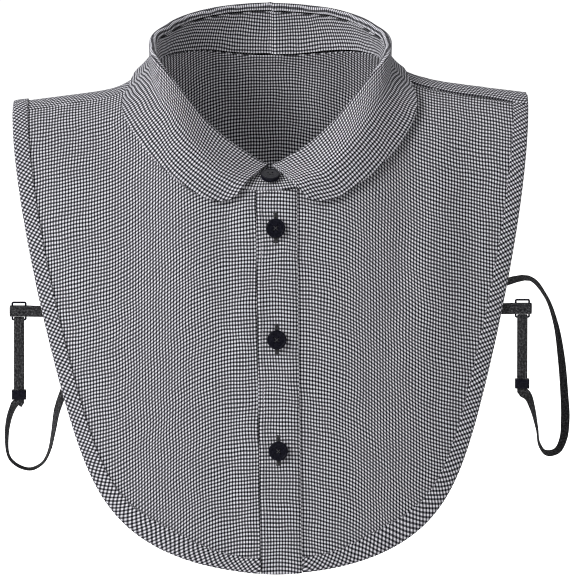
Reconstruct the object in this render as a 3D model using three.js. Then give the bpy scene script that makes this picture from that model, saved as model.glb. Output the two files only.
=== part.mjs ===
// A detachable shirt front: a buttoned bib with a round-ended collar, bound
// edges, a plain back bib and an adjustable elastic strap on each side. It is
// modelled as worn, with the collar standing open. Millimetres, +Z up, the
// front faces -Y, and the origin is the middle of the neck seam.
import * as THREE from 'three';

// Cloth and general clearances
const clothWall = 1.0;
const gap = 0.3;

// Bib, measured from the shoulder ridge down
const shoulderHalfWidth = 153.8;
const frontLength = 272.9;
const backLength = 215;
const sideTaper = 0.388;
const taperPower = 1.45;
const hemSquareness = 13;
const hemRoundness = 1.87;
const outlineTurnPower = 7;
const hangShift = 3.2;
const hangPower = 1.5;

// Body form that the bib hangs on
const shoulderHeight = 10.2;
const shoulderSlope = 0.118;
const shoulderTilt = 2.1;
const shoulderTiltFrom = 70;
const shoulderTiltFull = 95;
const shoulderTiltDown = 90;
const ridgeRound = 48;
const neckRise = 27.9;
const neckRiseHalfWidth = 71;
const neckRisePower = 4.4;
const ridgeBackPower = 1.5;
const ridgeBackAtShoulder = 5;
const ridgeBackAtNeck = 20;
const crownPower = 1.5;
const crownRadiusAtShoulder = 20;
const crownRadiusAtNeck = 40;
const depthPower = 2;
const chestDepthAtSide = 56;
const chestDepthAtMiddle = 102;
const backDepthAtSide = 50;
const backDepthAtMiddle = 65;

// Neck seam and collar
const neckHalfWidth = 66.5;
const neckHalfDepthBack = 57;
const neckHalfDepthFront = 59.2;
const neckEgg = 0.12;
const neckSquareness = 3;
const collarRise = 63.6;
const standWall = 1.8;
const standBow = 1.2;
const standToFall = 1.2;
const standAboveSeam = 0.5;
const seamLag = 0.08;
const fallWall = 1.4;
const fallInnerLeg = 3.2;
const foldRadius = 1.6;
const fallEndHalfGap = 6;
const fallSeamHalfGap = 15;
const fallSeamPower = 4;
const fallLift = 3.1;
const fallBulge = 8;
const fallOverStand = 4.5;
const fallSeamShare = 0.4;
const foldTurn = 0.8;
const fallFreeUntil = 0.2;
const fallFreeFade = 0.3;
const fallWidthBack = 62;
const fallPointDepth = 138;
const fallHalfSpread = 87.5;
const fallEndRoundStart = 0.48;
const fallEndRoundReach = 0.125;

// Front closing
const placketWidth = 24;
const placketCentre = 3.5;
const placketWall = 1.8;
const forwardSeam = 15;
const backSeamDown = 45;
const foldsBelowShoulder = 36;
const foldsClearOfPlacket = 1;
const standOverlap = 14;
const standUnderlap = 9.8;
const lapRun = 18;
const lapFlat = 4;
const underlapInset = 1;
const clearOfEdge = 2;

// Edge binding
const bindingWidth = 9;
const bindingWall = 0.8;

// Buttons
const buttonDiameter = 11.3;
const buttonThickness = 2.4;
const buttonBevel = 0.5;
const buttonHoleRadius = 0.9;
const buttonHoleSpacing = 1.5;
const firstButtonDown = 148;
const lastButtonDown = 280;
const buttonCount = 3;
const buttonAcross = -0.6;
const collarButtonUp = 0.35;
const collarButtonRise = 0.9;

// Elastic straps, rings and sliders
const strapWidth = 6;
const strapWall = 0.8;
const ringWire = 1.1;
const ringHeight = 10.2;
const ringCorner = 0.7;
const ringEase = 0.2;
const tabWidth = 6.4;
const sliderHeight = 5.5;
const sliderWall = 0.9;
const tuckedEnd = 1;
const straightBelowSlider = 2;
const edgeOnLimit = 0.2;
const anchorLength = 12;
const anchorDrop = 3;
const tabInset = 1;
const seamSlack = 0.9;

// Numbers of steps along each shape
const frontSideSteps = 24;
const overShoulderSteps = 11;
const backSideSteps = 15;
const panelSteps = 7;
const standSteps = 44;
const fallSteps = 42;
const foldSteps = 5;
const leafSteps = 6;
const buttonSteps = 5;
const cornerSteps = 3;
const wireSides = 6;
const halfTurnSteps = 6;
const strapSteps = 3;
const strapEndSteps = 6;
const tracing = 400;
const halvings = 50;
const angleStep = 0.01;
const formStep = 0.05;

// The fold line of the collar, a row for each tenth of the way from the middle
// of the back to the front: shares of the neck's half width, of its front half
// depth and of the collar's rise.
const foldRows = [
  { across: 0.000, back: 0.855, up: 1.000 },
  { across: 0.299, back: 0.834, up: 0.988 },
  { across: 0.545, back: 0.761, up: 0.962 },
  { across: 0.742, back: 0.641, up: 0.912 },
  { across: 0.892, back: 0.444, up: 0.848 },
  { across: 1.033, back: 0.171, up: 0.754 },
  { across: 1.002, back: -0.171, up: 0.580 },
  { across: 0.829, back: -0.420, up: 0.303 },
  { across: 0.586, back: -0.555, up: -0.014 },
  { across: 0.291, back: -0.643, up: -0.274 },
  { across: 0.000, back: -0.672, up: -0.446 },
];

// The outer edge of the collar, where it lies on the bib: shares of its half
// spread, and of its depth behind (first three rows) or in front.
const edgeRows = [
  { across: 0.00, over: -1.00 },
  { across: 0.30, over: -0.95 },
  { across: 0.56, over: -0.77 },
  { across: 0.73, over: -0.48 },
  { across: 0.82, over: -0.15 },
  { across: 0.93, over: 0.10 },
  { across: 0.985, over: 0.262 },
  { across: 0.86, over: 0.474 },
  { across: 0.68, over: 0.700 },
  { across: 0.49, over: 0.873 },
  { across: 0.30, over: 1.000 },
];

// Soft folds of the cloth: the middle, half width and half length as shares of
// the shoulder half width and the front length, the lean in degrees and the
// height in millimetres. Those with a back side lie on the back bib.
const clothFolds = [
  { across: -0.49, down: 0.13, lean: -58, wide: 0.075, long: 0.20, height: 1.6 },
  { across: -0.60, down: 0.22, lean: -58, wide: 0.070, long: 0.18, height: -1.1 },
  { across: 0.62, down: 0.42, lean: 4, wide: 0.075, long: 0.30, height: 1.5 },
  { across: 0.77, down: 0.40, lean: 3, wide: 0.060, long: 0.28, height: -1.1 },
  { across: -0.30, down: 0.55, lean: -8, wide: 0.110, long: 0.26, height: 1.2 },
  { across: -0.22, down: -0.28, lean: 12, wide: 0.090, long: 0.22, height: 1.8 },
  { across: 0.18, down: -0.33, lean: -10, wide: 0.080, long: 0.24, height: -1.6 },
];

// Route of each strap below its slider: millimetres across, back and up from
// the origin, and how far the band faces the front, from 0, edge-on, to 1.
const leftRoute = [
  { across: -151.4, back: -45, up: -167.0, face: 0.45 },
  { across: -154.4, back: -41, up: -173.5, face: 0.33 },
  { across: -156.8, back: -34, up: -186.1, face: 0.19 },
  { across: -156.2, back: -24, up: -200.9, face: 0.05 },
  { across: -151.6, back: -17, up: -207.5, face: 0.02 },
  { across: -144.0, back: -7, up: -211.2, face: 0.02 },
  { across: -137.2, back: 2, up: -208.7, face: 0.05 },
  { across: -133.6, back: 9, up: -202.5, face: 0.15 },
  { across: -131.5, back: 16, up: -192.5, face: 0.26 },
  { across: -129.2, back: 23, up: -179.2, face: 0.40 },
];
const rightRoute = [
  { across: 152.7, back: -45, up: -161.7, face: 0.55 },
  { across: 155.6, back: -42, up: -169.3, face: 0.32 },
  { across: 158.6, back: -36, up: -182.2, face: 0.12 },
  { across: 160.4, back: -29, up: -192.9, face: 0.12 },
  { across: 164.6, back: -23, up: -198.9, face: 0.20 },
  { across: 172.0, back: -14, up: -198.9, face: 0.28 },
  { across: 176.0, back: -7, up: -192.7, face: 0.45 },
  { across: 177.4, back: 0, up: -181.6, face: 0.60 },
  { across: 177.2, back: 8, up: -168.7, face: 0.50 },
  { across: 175.9, back: 18, up: -148.8, face: 0.45 },
  { across: 172.6, back: 28, up: -127.2, face: 0.25 },
  { across: 166.6, back: 36, up: -111.4, face: 0.18 },
  { across: 157.0, back: 40, up: -101.6, face: 0.35 },
];

// Where the straps hang: the ring's middle, the slider's middle and the height
// of the seam on the back bib.
const strapPlaces = {
  left: { side: -1, ringAcross: 148.3, ringUp: -110.4, sliderAcross: 148.6, sliderUp: -160.2, seamUp: -122,
    route: leftRoute },
  right: { side: 1, ringAcross: 148.9, ringUp: -108.8, sliderAcross: 149.0, sliderUp: -153.6, seamUp: -99,
    route: rightRoute },
};
const strapBack = -49;

// Finishes
const checkedCloth = new THREE.MeshStandardMaterial({ color: 0x7d7c81, roughness: 0.9, metalness: 0 });
const biasCloth = new THREE.MeshStandardMaterial({ color: 0x78777b, roughness: 0.9, metalness: 0 });
const blackButton = new THREE.MeshStandardMaterial({ color: 0x14151c, roughness: 0.35, metalness: 0 });
const blackElastic = new THREE.MeshStandardMaterial({ color: 0x1a1a1c, roughness: 0.85, metalness: 0 });
const blackPlastic = new THREE.MeshStandardMaterial({ color: 0x101012, roughness: 0.4, metalness: 0 });

// General helpers

function mix(a, b, share) {
  return a + (b - a) * share;
}

function smoothStep(from, to, value) {
  const share = THREE.MathUtils.clamp((value - from) / (to - from), 0, 1);
  return share * share * (3 - 2 * share);
}

// The last place from 0 to an end at which a test still holds.
function lastWhere(test, end) {
  let low = 0;
  let high = end;
  for (let i = 0; i < halvings; i += 1) {
    const middle = (low + high) / 2;
    if (test(middle)) {
      low = middle;
    } else {
      high = middle;
    }
  }
  return low;
}

// A value of one column of evenly spaced rows, smoothed through its neighbours.
// The rows carry on mirrored before the first one and, if they end on the
// middle line, after the last one: across changes its sign there.
function rowValue(rows, column, share, endsInMiddle) {
  const place = THREE.MathUtils.clamp(share, 0, 1) * (rows.length - 1);
  const index = Math.min(rows.length - 2, Math.floor(place));
  const step = place - index;
  const value = (i) => {
    const mirror = column === 'across' ? -1 : 1;
    if (i < 0) {
      return mirror * rows[1][column];
    }
    if (i >= rows.length && endsInMiddle) {
      return mirror * rows[rows.length - 2][column];
    }
    if (i >= rows.length) {
      return 2 * rows[rows.length - 1][column] - rows[rows.length - 2][column];
    }
    return rows[i][column];
  };
  const [before, from, to, after] = [value(index - 1), value(index), value(index + 1), value(index + 2)];
  return 0.5 * (2 * from + (to - before) * step
    + (2 * before - 5 * from + 4 * to - after) * step ** 2
    + (3 * from - before - 3 * to + after) * step ** 3);
}

// Points at even distances along a curve that a function traces from 0 to 1.
function evenly(trace, steps) {
  const dense = [];
  for (let i = 0; i <= tracing; i += 1) {
    dense.push(trace(i / tracing));
  }
  const lengths = [0];
  for (let i = 1; i <= tracing; i += 1) {
    lengths.push(lengths[i - 1] + dense[i].distanceTo(dense[i - 1]));
  }
  const points = [];
  let index = 0;
  for (let k = 0; k <= steps; k += 1) {
    const wanted = lengths[tracing] * k / steps;
    while (index < tracing - 1 && lengths[index + 1] < wanted) {
      index += 1;
    }
    const share = (wanted - lengths[index]) / (lengths[index + 1] - lengths[index]);
    points.push(dense[index].clone().lerp(dense[index + 1], share));
  }
  return points;
}

function meshFrom(points, triangles) {
  const positions = new Float32Array(points.flatMap((p) => [p.x, p.y, p.z]));
  let volume = 0;
  for (const [a, b, c] of triangles) {
    volume += points[a].dot(new THREE.Vector3().crossVectors(points[b], points[c]));
  }
  const faces = volume < 0 ? triangles.map(([a, b, c]) => [a, c, b]) : triangles;
  const geometry = new THREE.BufferGeometry();
  geometry.setAttribute('position', new THREE.BufferAttribute(positions, 3));
  geometry.setIndex(faces.flat());
  geometry.computeVertexNormals();
  return geometry;
}

// A closed wall from a grid of [outer, inner] pairs of points.
function shell(rows) {
  const columns = rows[0].length;
  const points = rows.flatMap((row) => row.flat());
  const at = (i, j, side) => 2 * (i * columns + j) + side;
  const triangles = [];
  const quad = (a, b, c, d) => triangles.push([a, b, c], [a, c, d]);
  for (let i = 0; i < rows.length - 1; i += 1) {
    for (let j = 0; j < columns - 1; j += 1) {
      quad(at(i, j, 0), at(i + 1, j, 0), at(i + 1, j + 1, 0), at(i, j + 1, 0));
      quad(at(i, j, 1), at(i, j + 1, 1), at(i + 1, j + 1, 1), at(i + 1, j, 1));
    }
  }
  for (let i = 0; i < rows.length - 1; i += 1) {
    const last = columns - 1;
    quad(at(i, 0, 0), at(i, 0, 1), at(i + 1, 0, 1), at(i + 1, 0, 0));
    quad(at(i, last, 0), at(i + 1, last, 0), at(i + 1, last, 1), at(i, last, 1));
  }
  for (let j = 0; j < columns - 1; j += 1) {
    const last = rows.length - 1;
    quad(at(0, j, 0), at(0, j + 1, 0), at(0, j + 1, 1), at(0, j, 1));
    quad(at(last, j, 0), at(last, j, 1), at(last, j + 1, 1), at(last, j + 1, 0));
  }
  return meshFrom(points, triangles);
}

// Gives a grid of middle points a wall, half on each side.
function thicken(grid, wall) {
  return grid.map((row, i) => row.map((point, j) => {
    const along = new THREE.Vector3().subVectors(
      grid[Math.min(i + 1, grid.length - 1)][j], grid[Math.max(i - 1, 0)][j]);
    const across = new THREE.Vector3().subVectors(
      row[Math.min(j + 1, row.length - 1)], row[Math.max(j - 1, 0)]);
    const normal = along.cross(across).normalize().multiplyScalar(wall / 2);
    return [point.clone().add(normal), point.clone().sub(normal)];
  }));
}

// A flat band along a route, with the direction of its width at each point.
function ribbon(route, widths, width, wall) {
  const grid = route.map((point, i) => {
    const half = widths[i].clone().normalize().multiplyScalar(width / 2);
    return [point.clone().sub(half), point.clone().add(half)];
  });
  return shell(thicken(grid, wall));
}

function addMesh(group, name, geometry, material) {
  const mesh = new THREE.Mesh(geometry, material);
  mesh.name = name;
  group.add(mesh);
  return mesh;
}

// Body form: every piece of the bib is laid out flat, x across and s along the
// cloth from the shoulder ridge, positive in front, and draped on this form.

function shareOut(x) {
  return Math.min(1, Math.abs(x) / shoulderHalfWidth);
}

// The ridge slopes down to both sides and is rounded over the middle.
function ridgeHeight(x) {
  const away = Math.abs(x) < ridgeRound ? (x * x / ridgeRound + ridgeRound) / 2 : Math.abs(x);
  return shoulderHeight + shoulderSlope * (shoulderHalfWidth - away)
    + neckRise * Math.exp(-((Math.abs(x) / neckRiseHalfWidth) ** neckRisePower));
}

function ridgeBack(x) {
  return mix(ridgeBackAtNeck, ridgeBackAtShoulder, shareOut(x) ** ridgeBackPower);
}

function crownRadius(x) {
  return mix(crownRadiusAtNeck, crownRadiusAtShoulder, shareOut(x) ** crownPower);
}

function depthOf(x, s) {
  const middle = s > 0 ? chestDepthAtMiddle : backDepthAtMiddle;
  const side = s > 0 ? chestDepthAtSide : backDepthAtSide;
  return mix(middle, side, shareOut(x) ** depthPower);
}

function hang(z) {
  return hangShift * Math.max(0, (shoulderHeight - z) / frontLength) ** hangPower;
}

function foldHeight(x, s) {
  const down = s / frontLength;
  let height = 0;
  for (const fold of clothFolds) {
    const lean = THREE.MathUtils.degToRad(fold.lean);
    const dx = x / shoulderHalfWidth - fold.across;
    const dy = (down - fold.down) * frontLength / shoulderHalfWidth;
    const across = dx * Math.cos(lean) + dy * Math.sin(lean);
    const along = -dx * Math.sin(lean) + dy * Math.cos(lean);
    const reach = fold.long * frontLength / shoulderHalfWidth;
    height += fold.height * Math.exp(-((across / fold.wide) ** 2) - (along / reach) ** 2);
  }
  const clearOfPlacket = s > 0
    ? smoothStep(placketWidth / 2 + foldsClearOfPlacket, placketWidth + lapRun, Math.abs(x - placketCentre)) : 1;
  const clearOfSeam = smoothStep(forwardSeam, foldsBelowShoulder, Math.abs(s));
  return height * clearOfPlacket * clearOfSeam;
}

// One shoulder is held a little higher than the other, to either side of the
// neck and down to a distance along the cloth.
function tilt(x, s) {
  return Math.sign(x) * shoulderTilt * smoothStep(shoulderTiltFrom, shoulderTiltFull, Math.abs(x))
    * (1 - smoothStep(0, shoulderTiltDown, Math.abs(s)));
}

function formPoint(x, s) {
  const depth = depthOf(x, s);
  const crown = crownRadius(x);
  const z = ridgeHeight(x) + tilt(x, s) - (Math.hypot(s, crown) - crown);
  const y = ridgeBack(x) - s / Math.hypot(1, s / depth);
  return new THREE.Vector3(x + hang(z), y, z);
}

function formNormal(x, s) {
  const across = formPoint(x + formStep, s).sub(formPoint(x - formStep, s));
  const down = formPoint(x, s + formStep).sub(formPoint(x, s - formStep));
  return down.cross(across).normalize();
}

// The point at a height above the form, folds included.
function drape(x, s, height) {
  return formPoint(x, s).addScaledVector(formNormal(x, s), height + foldHeight(x, s));
}

// Distance along the cloth of the point at x and y, or at x and z.
function alongFromDepth(x, y) {
  const forward = ridgeBack(x) - y;
  const depth = depthOf(x, forward);
  return forward / Math.sqrt(1 - (forward / depth) ** 2);
}

function alongFromHeight(x, z, side) {
  const crown = crownRadius(x);
  return side * Math.sqrt(Math.max(0, (ridgeHeight(x) - z + crown) ** 2 - crown ** 2));
}

// Neck seam, at an angle from the middle of the back, on to either side

function neckFlat(angle) {
  const cos = Math.cos(angle);
  const power = cos > 0 ? 1 : 2 / neckSquareness;
  const sin = Math.sign(Math.sin(angle)) * Math.abs(Math.sin(angle)) ** power;
  const y = cos > 0 ? neckHalfDepthBack * cos : -neckHalfDepthFront * (-cos) ** power;
  const x = neckHalfWidth * sin * (1 + neckEgg * cos);
  return new THREE.Vector2(x, alongFromDepth(x, y));
}

// The angle at which the neck seam passes a distance along the cloth, or a
// distance from the middle in front.
function neckAngle(test) {
  return lastWhere((angle) => test(neckFlat(angle)), Math.PI);
}

// The cut edge of the panels, just outside the neck seam
function neckEdge(angle) {
  const along = neckFlat(angle + angleStep).sub(neckFlat(angle - angleStep)).normalize();
  const seam = neckFlat(angle);
  return new THREE.Vector2(seam.x + along.y * standWall / 2, seam.y - along.x * standWall / 2);
}

// Outline of the bib on one side, laid out flat, from the shoulder down

function halfWidthAt(z, length) {
  const down = (shoulderHeight - z) / length;
  return shoulderHalfWidth * (1 - sideTaper * down ** taperPower);
}

// The power of the turn spreads the points near the shoulder.
function traceOutline(share, length, side) {
  const turn = (Math.PI / 2) * share ** outlineTurnPower;
  const z = shoulderHeight - Math.sin(turn) ** (2 / hemSquareness) * length;
  const x = halfWidthAt(z, length) * Math.cos(turn) ** (2 / hemRoundness);
  return new THREE.Vector2(x, alongFromHeight(x, z, side));
}

// The flat outline of one side in three stretches: up the front side from the
// front opening to the shoulder seam, over the shoulder, and down the back.
function outlineStations(openingEdge) {
  const front = (share) => traceOutline(1 - share, frontLength, 1);
  const back = (share) => traceOutline(share, backLength, -1);
  const opening = lastWhere((share) => front(share).x < openingEdge, 1);
  const seam = lastWhere((share) => front(share).y > forwardSeam, 1);
  const backSeam = lastWhere((share) => back(share).y > -backSeamDown, 1);
  const up = evenly((share) => front(mix(opening, seam, share)), frontSideSteps);
  const top = up[up.length - 1];
  const behind = back(backSeam);
  const over = [];
  for (let i = 1; i < overShoulderSteps; i += 1) {
    const share = i / overShoulderSteps;
    const s = mix(top.y, behind.y, share);
    const x = s > 0 ? mix(shoulderHalfWidth, top.x, (s / top.y) ** 2)
      : mix(shoulderHalfWidth, behind.x, (s / behind.y) ** 2);
    over.push(new THREE.Vector2(x, s));
  }
  const down = evenly((share) => back(mix(backSeam, 1, share)), backSideSteps);
  return [...up, ...over, ...down];
}

// Moves each point of a flat outline in from the edge.
function inset(stations, distance) {
  return stations.map((point, i) => {
    const before = stations[Math.max(0, i - 1)];
    const after = stations[Math.min(stations.length - 1, i + 1)];
    const along = new THREE.Vector2().subVectors(after, before).normalize();
    if (i === 0) {
      along.set(1, 0);
    }
    if (i === stations.length - 1) {
      along.set(-1, 0);
    }
    return new THREE.Vector2(point.x + along.y * distance, point.y - along.x * distance);
  });
}

// How far the left front, the placket and the left end of the stand lie
// outside the right ones, which run under them.
const lapLift = clothWall / 2 + gap + placketWall / 2;
const placketLeft = placketCentre - placketWidth / 2;
const placketRight = placketCentre + placketWidth / 2;

function frontLift(x, side) {
  return side < 0 ? lapLift * smoothStep(placketLeft - lapRun, placketLeft - lapFlat, x) : 0;
}

// Panels

const edgeInset = bindingWall + gap;

// One line of a panel from the neck to the edge, as [outer, inner] pairs.
function panelLine(neck, bindingLine, edge, side) {
  const line = [];
  for (let i = 0; i <= panelSteps; i += 1) {
    line.push(neck.clone().lerp(bindingLine, i / panelSteps));
  }
  line.push(edge);
  return line.map((p) => {
    const x = side * p.x;
    const lift = p.y > 0 ? frontLift(x, side) : 0;
    return [drape(x, p.y, lift + clothWall / 2), drape(x, p.y, lift - clothWall / 2)];
  });
}

// Where a straight line down the front, at a distance from the middle, leaves
// the neck seam, and where it reaches the hem.
function neckAtFront(x) {
  const angle = neckAngle((p) => p.y < 0 || p.x > Math.abs(x));
  return new THREE.Vector2(x, neckFlat(angle).y + standWall / 2);
}

function hemAlong(x) {
  return outlineStations(Math.abs(x))[0].y;
}

function frontPanel(side) {
  const openingEdge = side < 0 ? -placketLeft + gap : placketRight + gap;
  const stations = outlineStations(openingEdge);
  const bindingLine = inset(stations, bindingWidth);
  const edge = inset(stations, edgeInset);
  const seamAngle = neckAngle((p) => p.y < forwardSeam + gap / 2);
  const openAngle = neckAngle((p) => p.y < 0 || p.x > openingEdge);
  const lines = [];
  for (let i = frontSideSteps; i >= 0; i -= 1) {
    const angle = mix(openAngle, seamAngle, i / frontSideSteps);
    const neck = neckEdge(angle);
    const onSeam = i === frontSideSteps;
    const fix = (p) => (onSeam ? new THREE.Vector2(p.x, forwardSeam + gap / 2) : p);
    const inLine = (p) => (i === 0 ? new THREE.Vector2(openingEdge, p.y) : p);
    lines.push(panelLine(inLine(fix(neck)), inLine(fix(bindingLine[i])), inLine(fix(edge[i])), side));
  }
  if (side > 0) {
    for (const x of [placketCentre, placketLeft + underlapInset]) {
      const neck = neckAtFront(x);
      const hem = hemAlong(x);
      lines.push(panelLine(neck, new THREE.Vector2(x, hem - bindingWidth),
        new THREE.Vector2(x, hem - edgeInset), side));
    }
  }
  return shell(lines);
}

function backPanel() {
  const stations = outlineStations(placketRight);
  const bindingLine = inset(stations, bindingWidth).slice(frontSideSteps);
  const edge = inset(stations, edgeInset).slice(frontSideSteps);
  const seamAngle = neckAngle((p) => p.y < forwardSeam - gap / 2);
  const count = edge.length - 1;
  const half = (side) => edge.map((point, i) => {
    const neck = neckEdge(seamAngle * (1 - i / count));
    const fix = (p) => (i === 0 ? new THREE.Vector2(p.x, forwardSeam - gap / 2) : p);
    const middle = (p) => (i === count ? new THREE.Vector2(0, p.y) : p);
    return panelLine(middle(fix(neck)), middle(fix(bindingLine[i])), middle(fix(point)), side);
  });
  const right = half(1);
  const left = half(-1);
  left.pop();
  return shell([...left, ...right.reverse()]);
}

// Front strip that carries the buttonholes, in two columns
function placket() {
  const across = [placketLeft, placketCentre, placketRight];
  const columns = across.map((x) => ({ x, from: neckAtFront(x).y + gap, to: hemAlong(x) }));
  const rows = [];
  const steps = panelSteps + 1;
  for (let i = 0; i <= steps; i += 1) {
    rows.push(columns.map(({ x, from, to }) => {
      const s = i < steps ? mix(from, to - bindingWidth, i / panelSteps) : to;
      return [drape(x, s, lapLift + placketWall / 2), drape(x, s, lapLift - placketWall / 2)];
    }));
  }
  return shell(rows);
}

// Bias tape folded over the edge of one side, from the front hem over the
// shoulder to the middle of the back hem
function edgeBinding(side) {
  const openingEdge = side < 0 ? -placketLeft + gap : placketRight + gap;
  const edge = outlineStations(openingEdge);
  const bend = inset(edge, bindingWall);
  const leg = inset(edge, bindingWidth);
  const inner = clothWall / 2 + gap;
  const outer = inner + bindingWall;
  const last = edge.length - 1;
  const rows = edge.map((point, i) => {
    const place = (p, height) => {
      const flatX = i === last ? gap / 2 : p.x;
      const x = side * flatX;
      const lift = p.y > 0 ? frontLift(x, side) : 0;
      return drape(x, p.y, lift + height);
    };
    return [
      [place(leg[i], outer), place(leg[i], inner)],
      [place(point, outer), place(bend[i], inner)],
      [place(point, -outer), place(bend[i], -inner)],
      [place(leg[i], -outer), place(leg[i], -inner)],
    ];
  });
  return shell(rows);
}

// Collar. Angles run from -pi, the left front, through 0, the middle of the
// back, to pi, the right front; past pi a point lies beyond the middle.

function collarLap(angle, x) {
  if (angle > 0) {
    return 0;
  }
  return (standWall + gap) * smoothStep(-2 * standOverlap - lapRun, -standOverlap + clearOfEdge, x);
}

function mirrored(angle) {
  const beyond = Math.abs(angle) > Math.PI;
  const inside = beyond ? 2 * Math.PI - Math.abs(angle) : Math.abs(angle);
  const side = Math.sign(angle) * (beyond ? -1 : 1);
  return { inside, side: side === 0 ? 1 : side };
}

function seamPoint(angle) {
  const { inside, side } = mirrored(angle);
  const flat = neckFlat(inside);
  return formPoint(side * flat.x, flat.y);
}

function foldPoint(angle) {
  const { inside, side } = mirrored(angle);
  const share = inside / Math.PI;
  return new THREE.Vector3(
    side * neckHalfWidth * rowValue(foldRows, 'across', share, true),
    neckHalfDepthFront * rowValue(foldRows, 'back', share, true),
    collarRise * rowValue(foldRows, 'up', share, true));
}

// The part of a direction that is square to a line.
function squareTo(direction, line) {
  return direction.clone().addScaledVector(line, -direction.dot(line)).normalize();
}

// The seam and the fold at an angle, and at each of them the way up the stand
// and the way out of it. At the sides the stand leans forward, so that the
// seam's angle lags behind the fold's.
function neckFrame(angle) {
  const seamAngle = angle - Math.sign(angle) * seamLag * Math.sin(angle) ** 2;
  const seamAlong = seamPoint(seamAngle + angleStep).sub(seamPoint(seamAngle - angleStep)).normalize();
  const foldAlong = foldPoint(angle + angleStep).sub(foldPoint(angle - angleStep)).normalize();
  const seam = seamPoint(seamAngle);
  const fold = foldPoint(angle);
  const rise = fold.clone().sub(seam);
  const up = squareTo(rise, seamAlong);
  const out = up.clone().cross(seamAlong);
  const foldUp = squareTo(rise, foldAlong);
  const foldOut = foldUp.clone().cross(foldAlong);
  const lap = collarLap(angle, seam.x);
  seam.addScaledVector(out, lap);
  fold.addScaledVector(foldOut, lap);
  const { inside, side } = mirrored(seamAngle);
  const flat = neckFlat(inside);
  flat.x *= side;
  return { flat, seam, up, out, fold, foldUp, foldOut };
}

function collarStand() {
  const from = -Math.PI - standOverlap / neckHalfWidth;
  const to = Math.PI + standUnderlap / neckHalfWidth;
  const grid = [];
  for (let i = 0; i <= standSteps; i += 1) {
    const { seam, up, out, fold, foldUp } = neckFrame(mix(from, to, i / standSteps));
    const bottom = seam.addScaledVector(up, standAboveSeam);
    const top = fold.addScaledVector(foldUp, -(fallInnerLeg + standToFall));
    grid.push([0, 0.5, 1].map((share) => bottom.clone().lerp(top, share)
      .addScaledVector(out, standBow * 4 * share * (1 - share))));
  }
  return shell(thicken(grid, standWall));
}

// The outer edge of the collar, laid out flat.
function fallEdge(share, side) {
  const over = rowValue(edgeRows, 'over', share, false);
  return new THREE.Vector2(
    side * fallHalfSpread * rowValue(edgeRows, 'across', share, false),
    over * (over < 0 ? fallWidthBack : fallPointDepth));
}

// The collar where it lies on the bib: over the lapped left front, or over the
// edge of the placket on the right.
function fallOnBib(flat, side) {
  const overPlacket = 1 - smoothStep(placketRight + clearOfEdge, placketRight + lapRun, flat.x);
  const under = side < 0 ? frontLift(flat.x, side) : lapLift * overPlacket;
  return drape(flat.x, flat.y, fallLift + (flat.y > 0 ? under : 0));
}

// One line of the collar fall, from its seam inside the neck, over the fold
// and down to the outer edge; share runs from the back to the front end. At the
// back the leaf hangs free; from the sides on it runs down the outside of the
// stand, over the seam and along the bib.
function fallLine(share, side, endAngle, seamEndAngle) {
  const grid = [];
  const { seam: standFoot, fold, foldUp: up, foldOut: out } = neckFrame(side * share * endAngle);
  const overLap = side > 0
    ? (standWall + gap) * (1 - smoothStep(standOverlap + clearOfEdge, standOverlap + lapRun, standFoot.x)) : 0;
  const spread = 1 + overLap / (2 * foldRadius);
  const foldCentre = fold.clone().addScaledVector(up, -foldRadius);
  grid.push(fold.clone().addScaledVector(up, -fallInnerLeg));
  for (let i = 0; i <= foldSteps; i += 1) {
    const turn = Math.PI * foldTurn * i / foldSteps;
    grid.push(foldCentre.clone()
      .addScaledVector(out, foldRadius * spread * (1 - Math.cos(turn)))
      .addScaledVector(up, foldRadius * Math.sin(turn)));
  }
  const start = grid[grid.length - 1];
  const flatEdge = fallEdge(share, side);
  const edge = fallOnBib(flatEdge, side);
  const hanging = new THREE.QuadraticBezierCurve3(
    start, start.clone().lerp(edge, 0.5).addScaledVector(out, fallBulge), edge);

  const seamAngle = share * mix(endAngle, seamEndAngle, share ** fallSeamPower);
  const foot = neckFrame(side * seamAngle);
  const onBib = formNormal(foot.flat.x, foot.flat.y);
  const corner = foot.seam.clone().addScaledVector(foot.out, overLap)
    .addScaledVector(onBib.clone().add(foot.out), fallOverStand / (1 + onBib.dot(foot.out)));
  const cornerShift = corner.clone().sub(fallOnBib(foot.flat, side));
  const follow = (down) => {
    if (down <= fallSeamShare) {
      return start.clone().lerp(corner, down / fallSeamShare);
    }
    const onward = (down - fallSeamShare) / (1 - fallSeamShare);
    return fallOnBib(foot.flat.clone().lerp(flatEdge, onward), side)
      .addScaledVector(cornerShift, (1 - onward) ** 2);
  };
  const pulled = smoothStep(fallFreeUntil, fallFreeUntil + fallFreeFade, share);
  for (let i = 1; i <= leafSteps; i += 1) {
    const down = i / leafSteps;
    grid.push(hanging.getPoint(down).lerp(follow(down), pulled));
  }
  return grid;
}

// How far towards the front the leaf reaches at a distance down it: its end is
// cut round.
function leafReach(down) {
  const round = Math.max(0, (down - fallEndRoundStart) / (1 - fallEndRoundStart));
  return 1 - fallEndRoundReach * (1 - Math.sqrt(Math.max(0, 1 - round * round)));
}

function collarFall() {
  const endAngle = neckAngle((p) => p.y < 0 || p.x > fallEndHalfGap);
  const seamEndAngle = neckAngle((p) => p.y < 0 || p.x > fallSeamHalfGap);
  const rows = [];
  for (let i = -fallSteps / 2; i <= fallSteps / 2; i += 1) {
    const side = i < 0 ? -1 : 1;
    const share = Math.abs(i) / (fallSteps / 2);
    const plain = fallLine(share, side, endAngle, seamEndAngle);
    const leafStart = plain.length - leafSteps - 1;
    rows.push(plain.map((point, j) => {
      const down = Math.max(0, (j - leafStart) / leafSteps);
      return fallLine(share * leafReach(down), side, endAngle, seamEndAngle)[j];
    }));
  }
  return shell(thicken(rows, fallWall));
}

// Buttons: a bevelled disc with four holes

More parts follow.
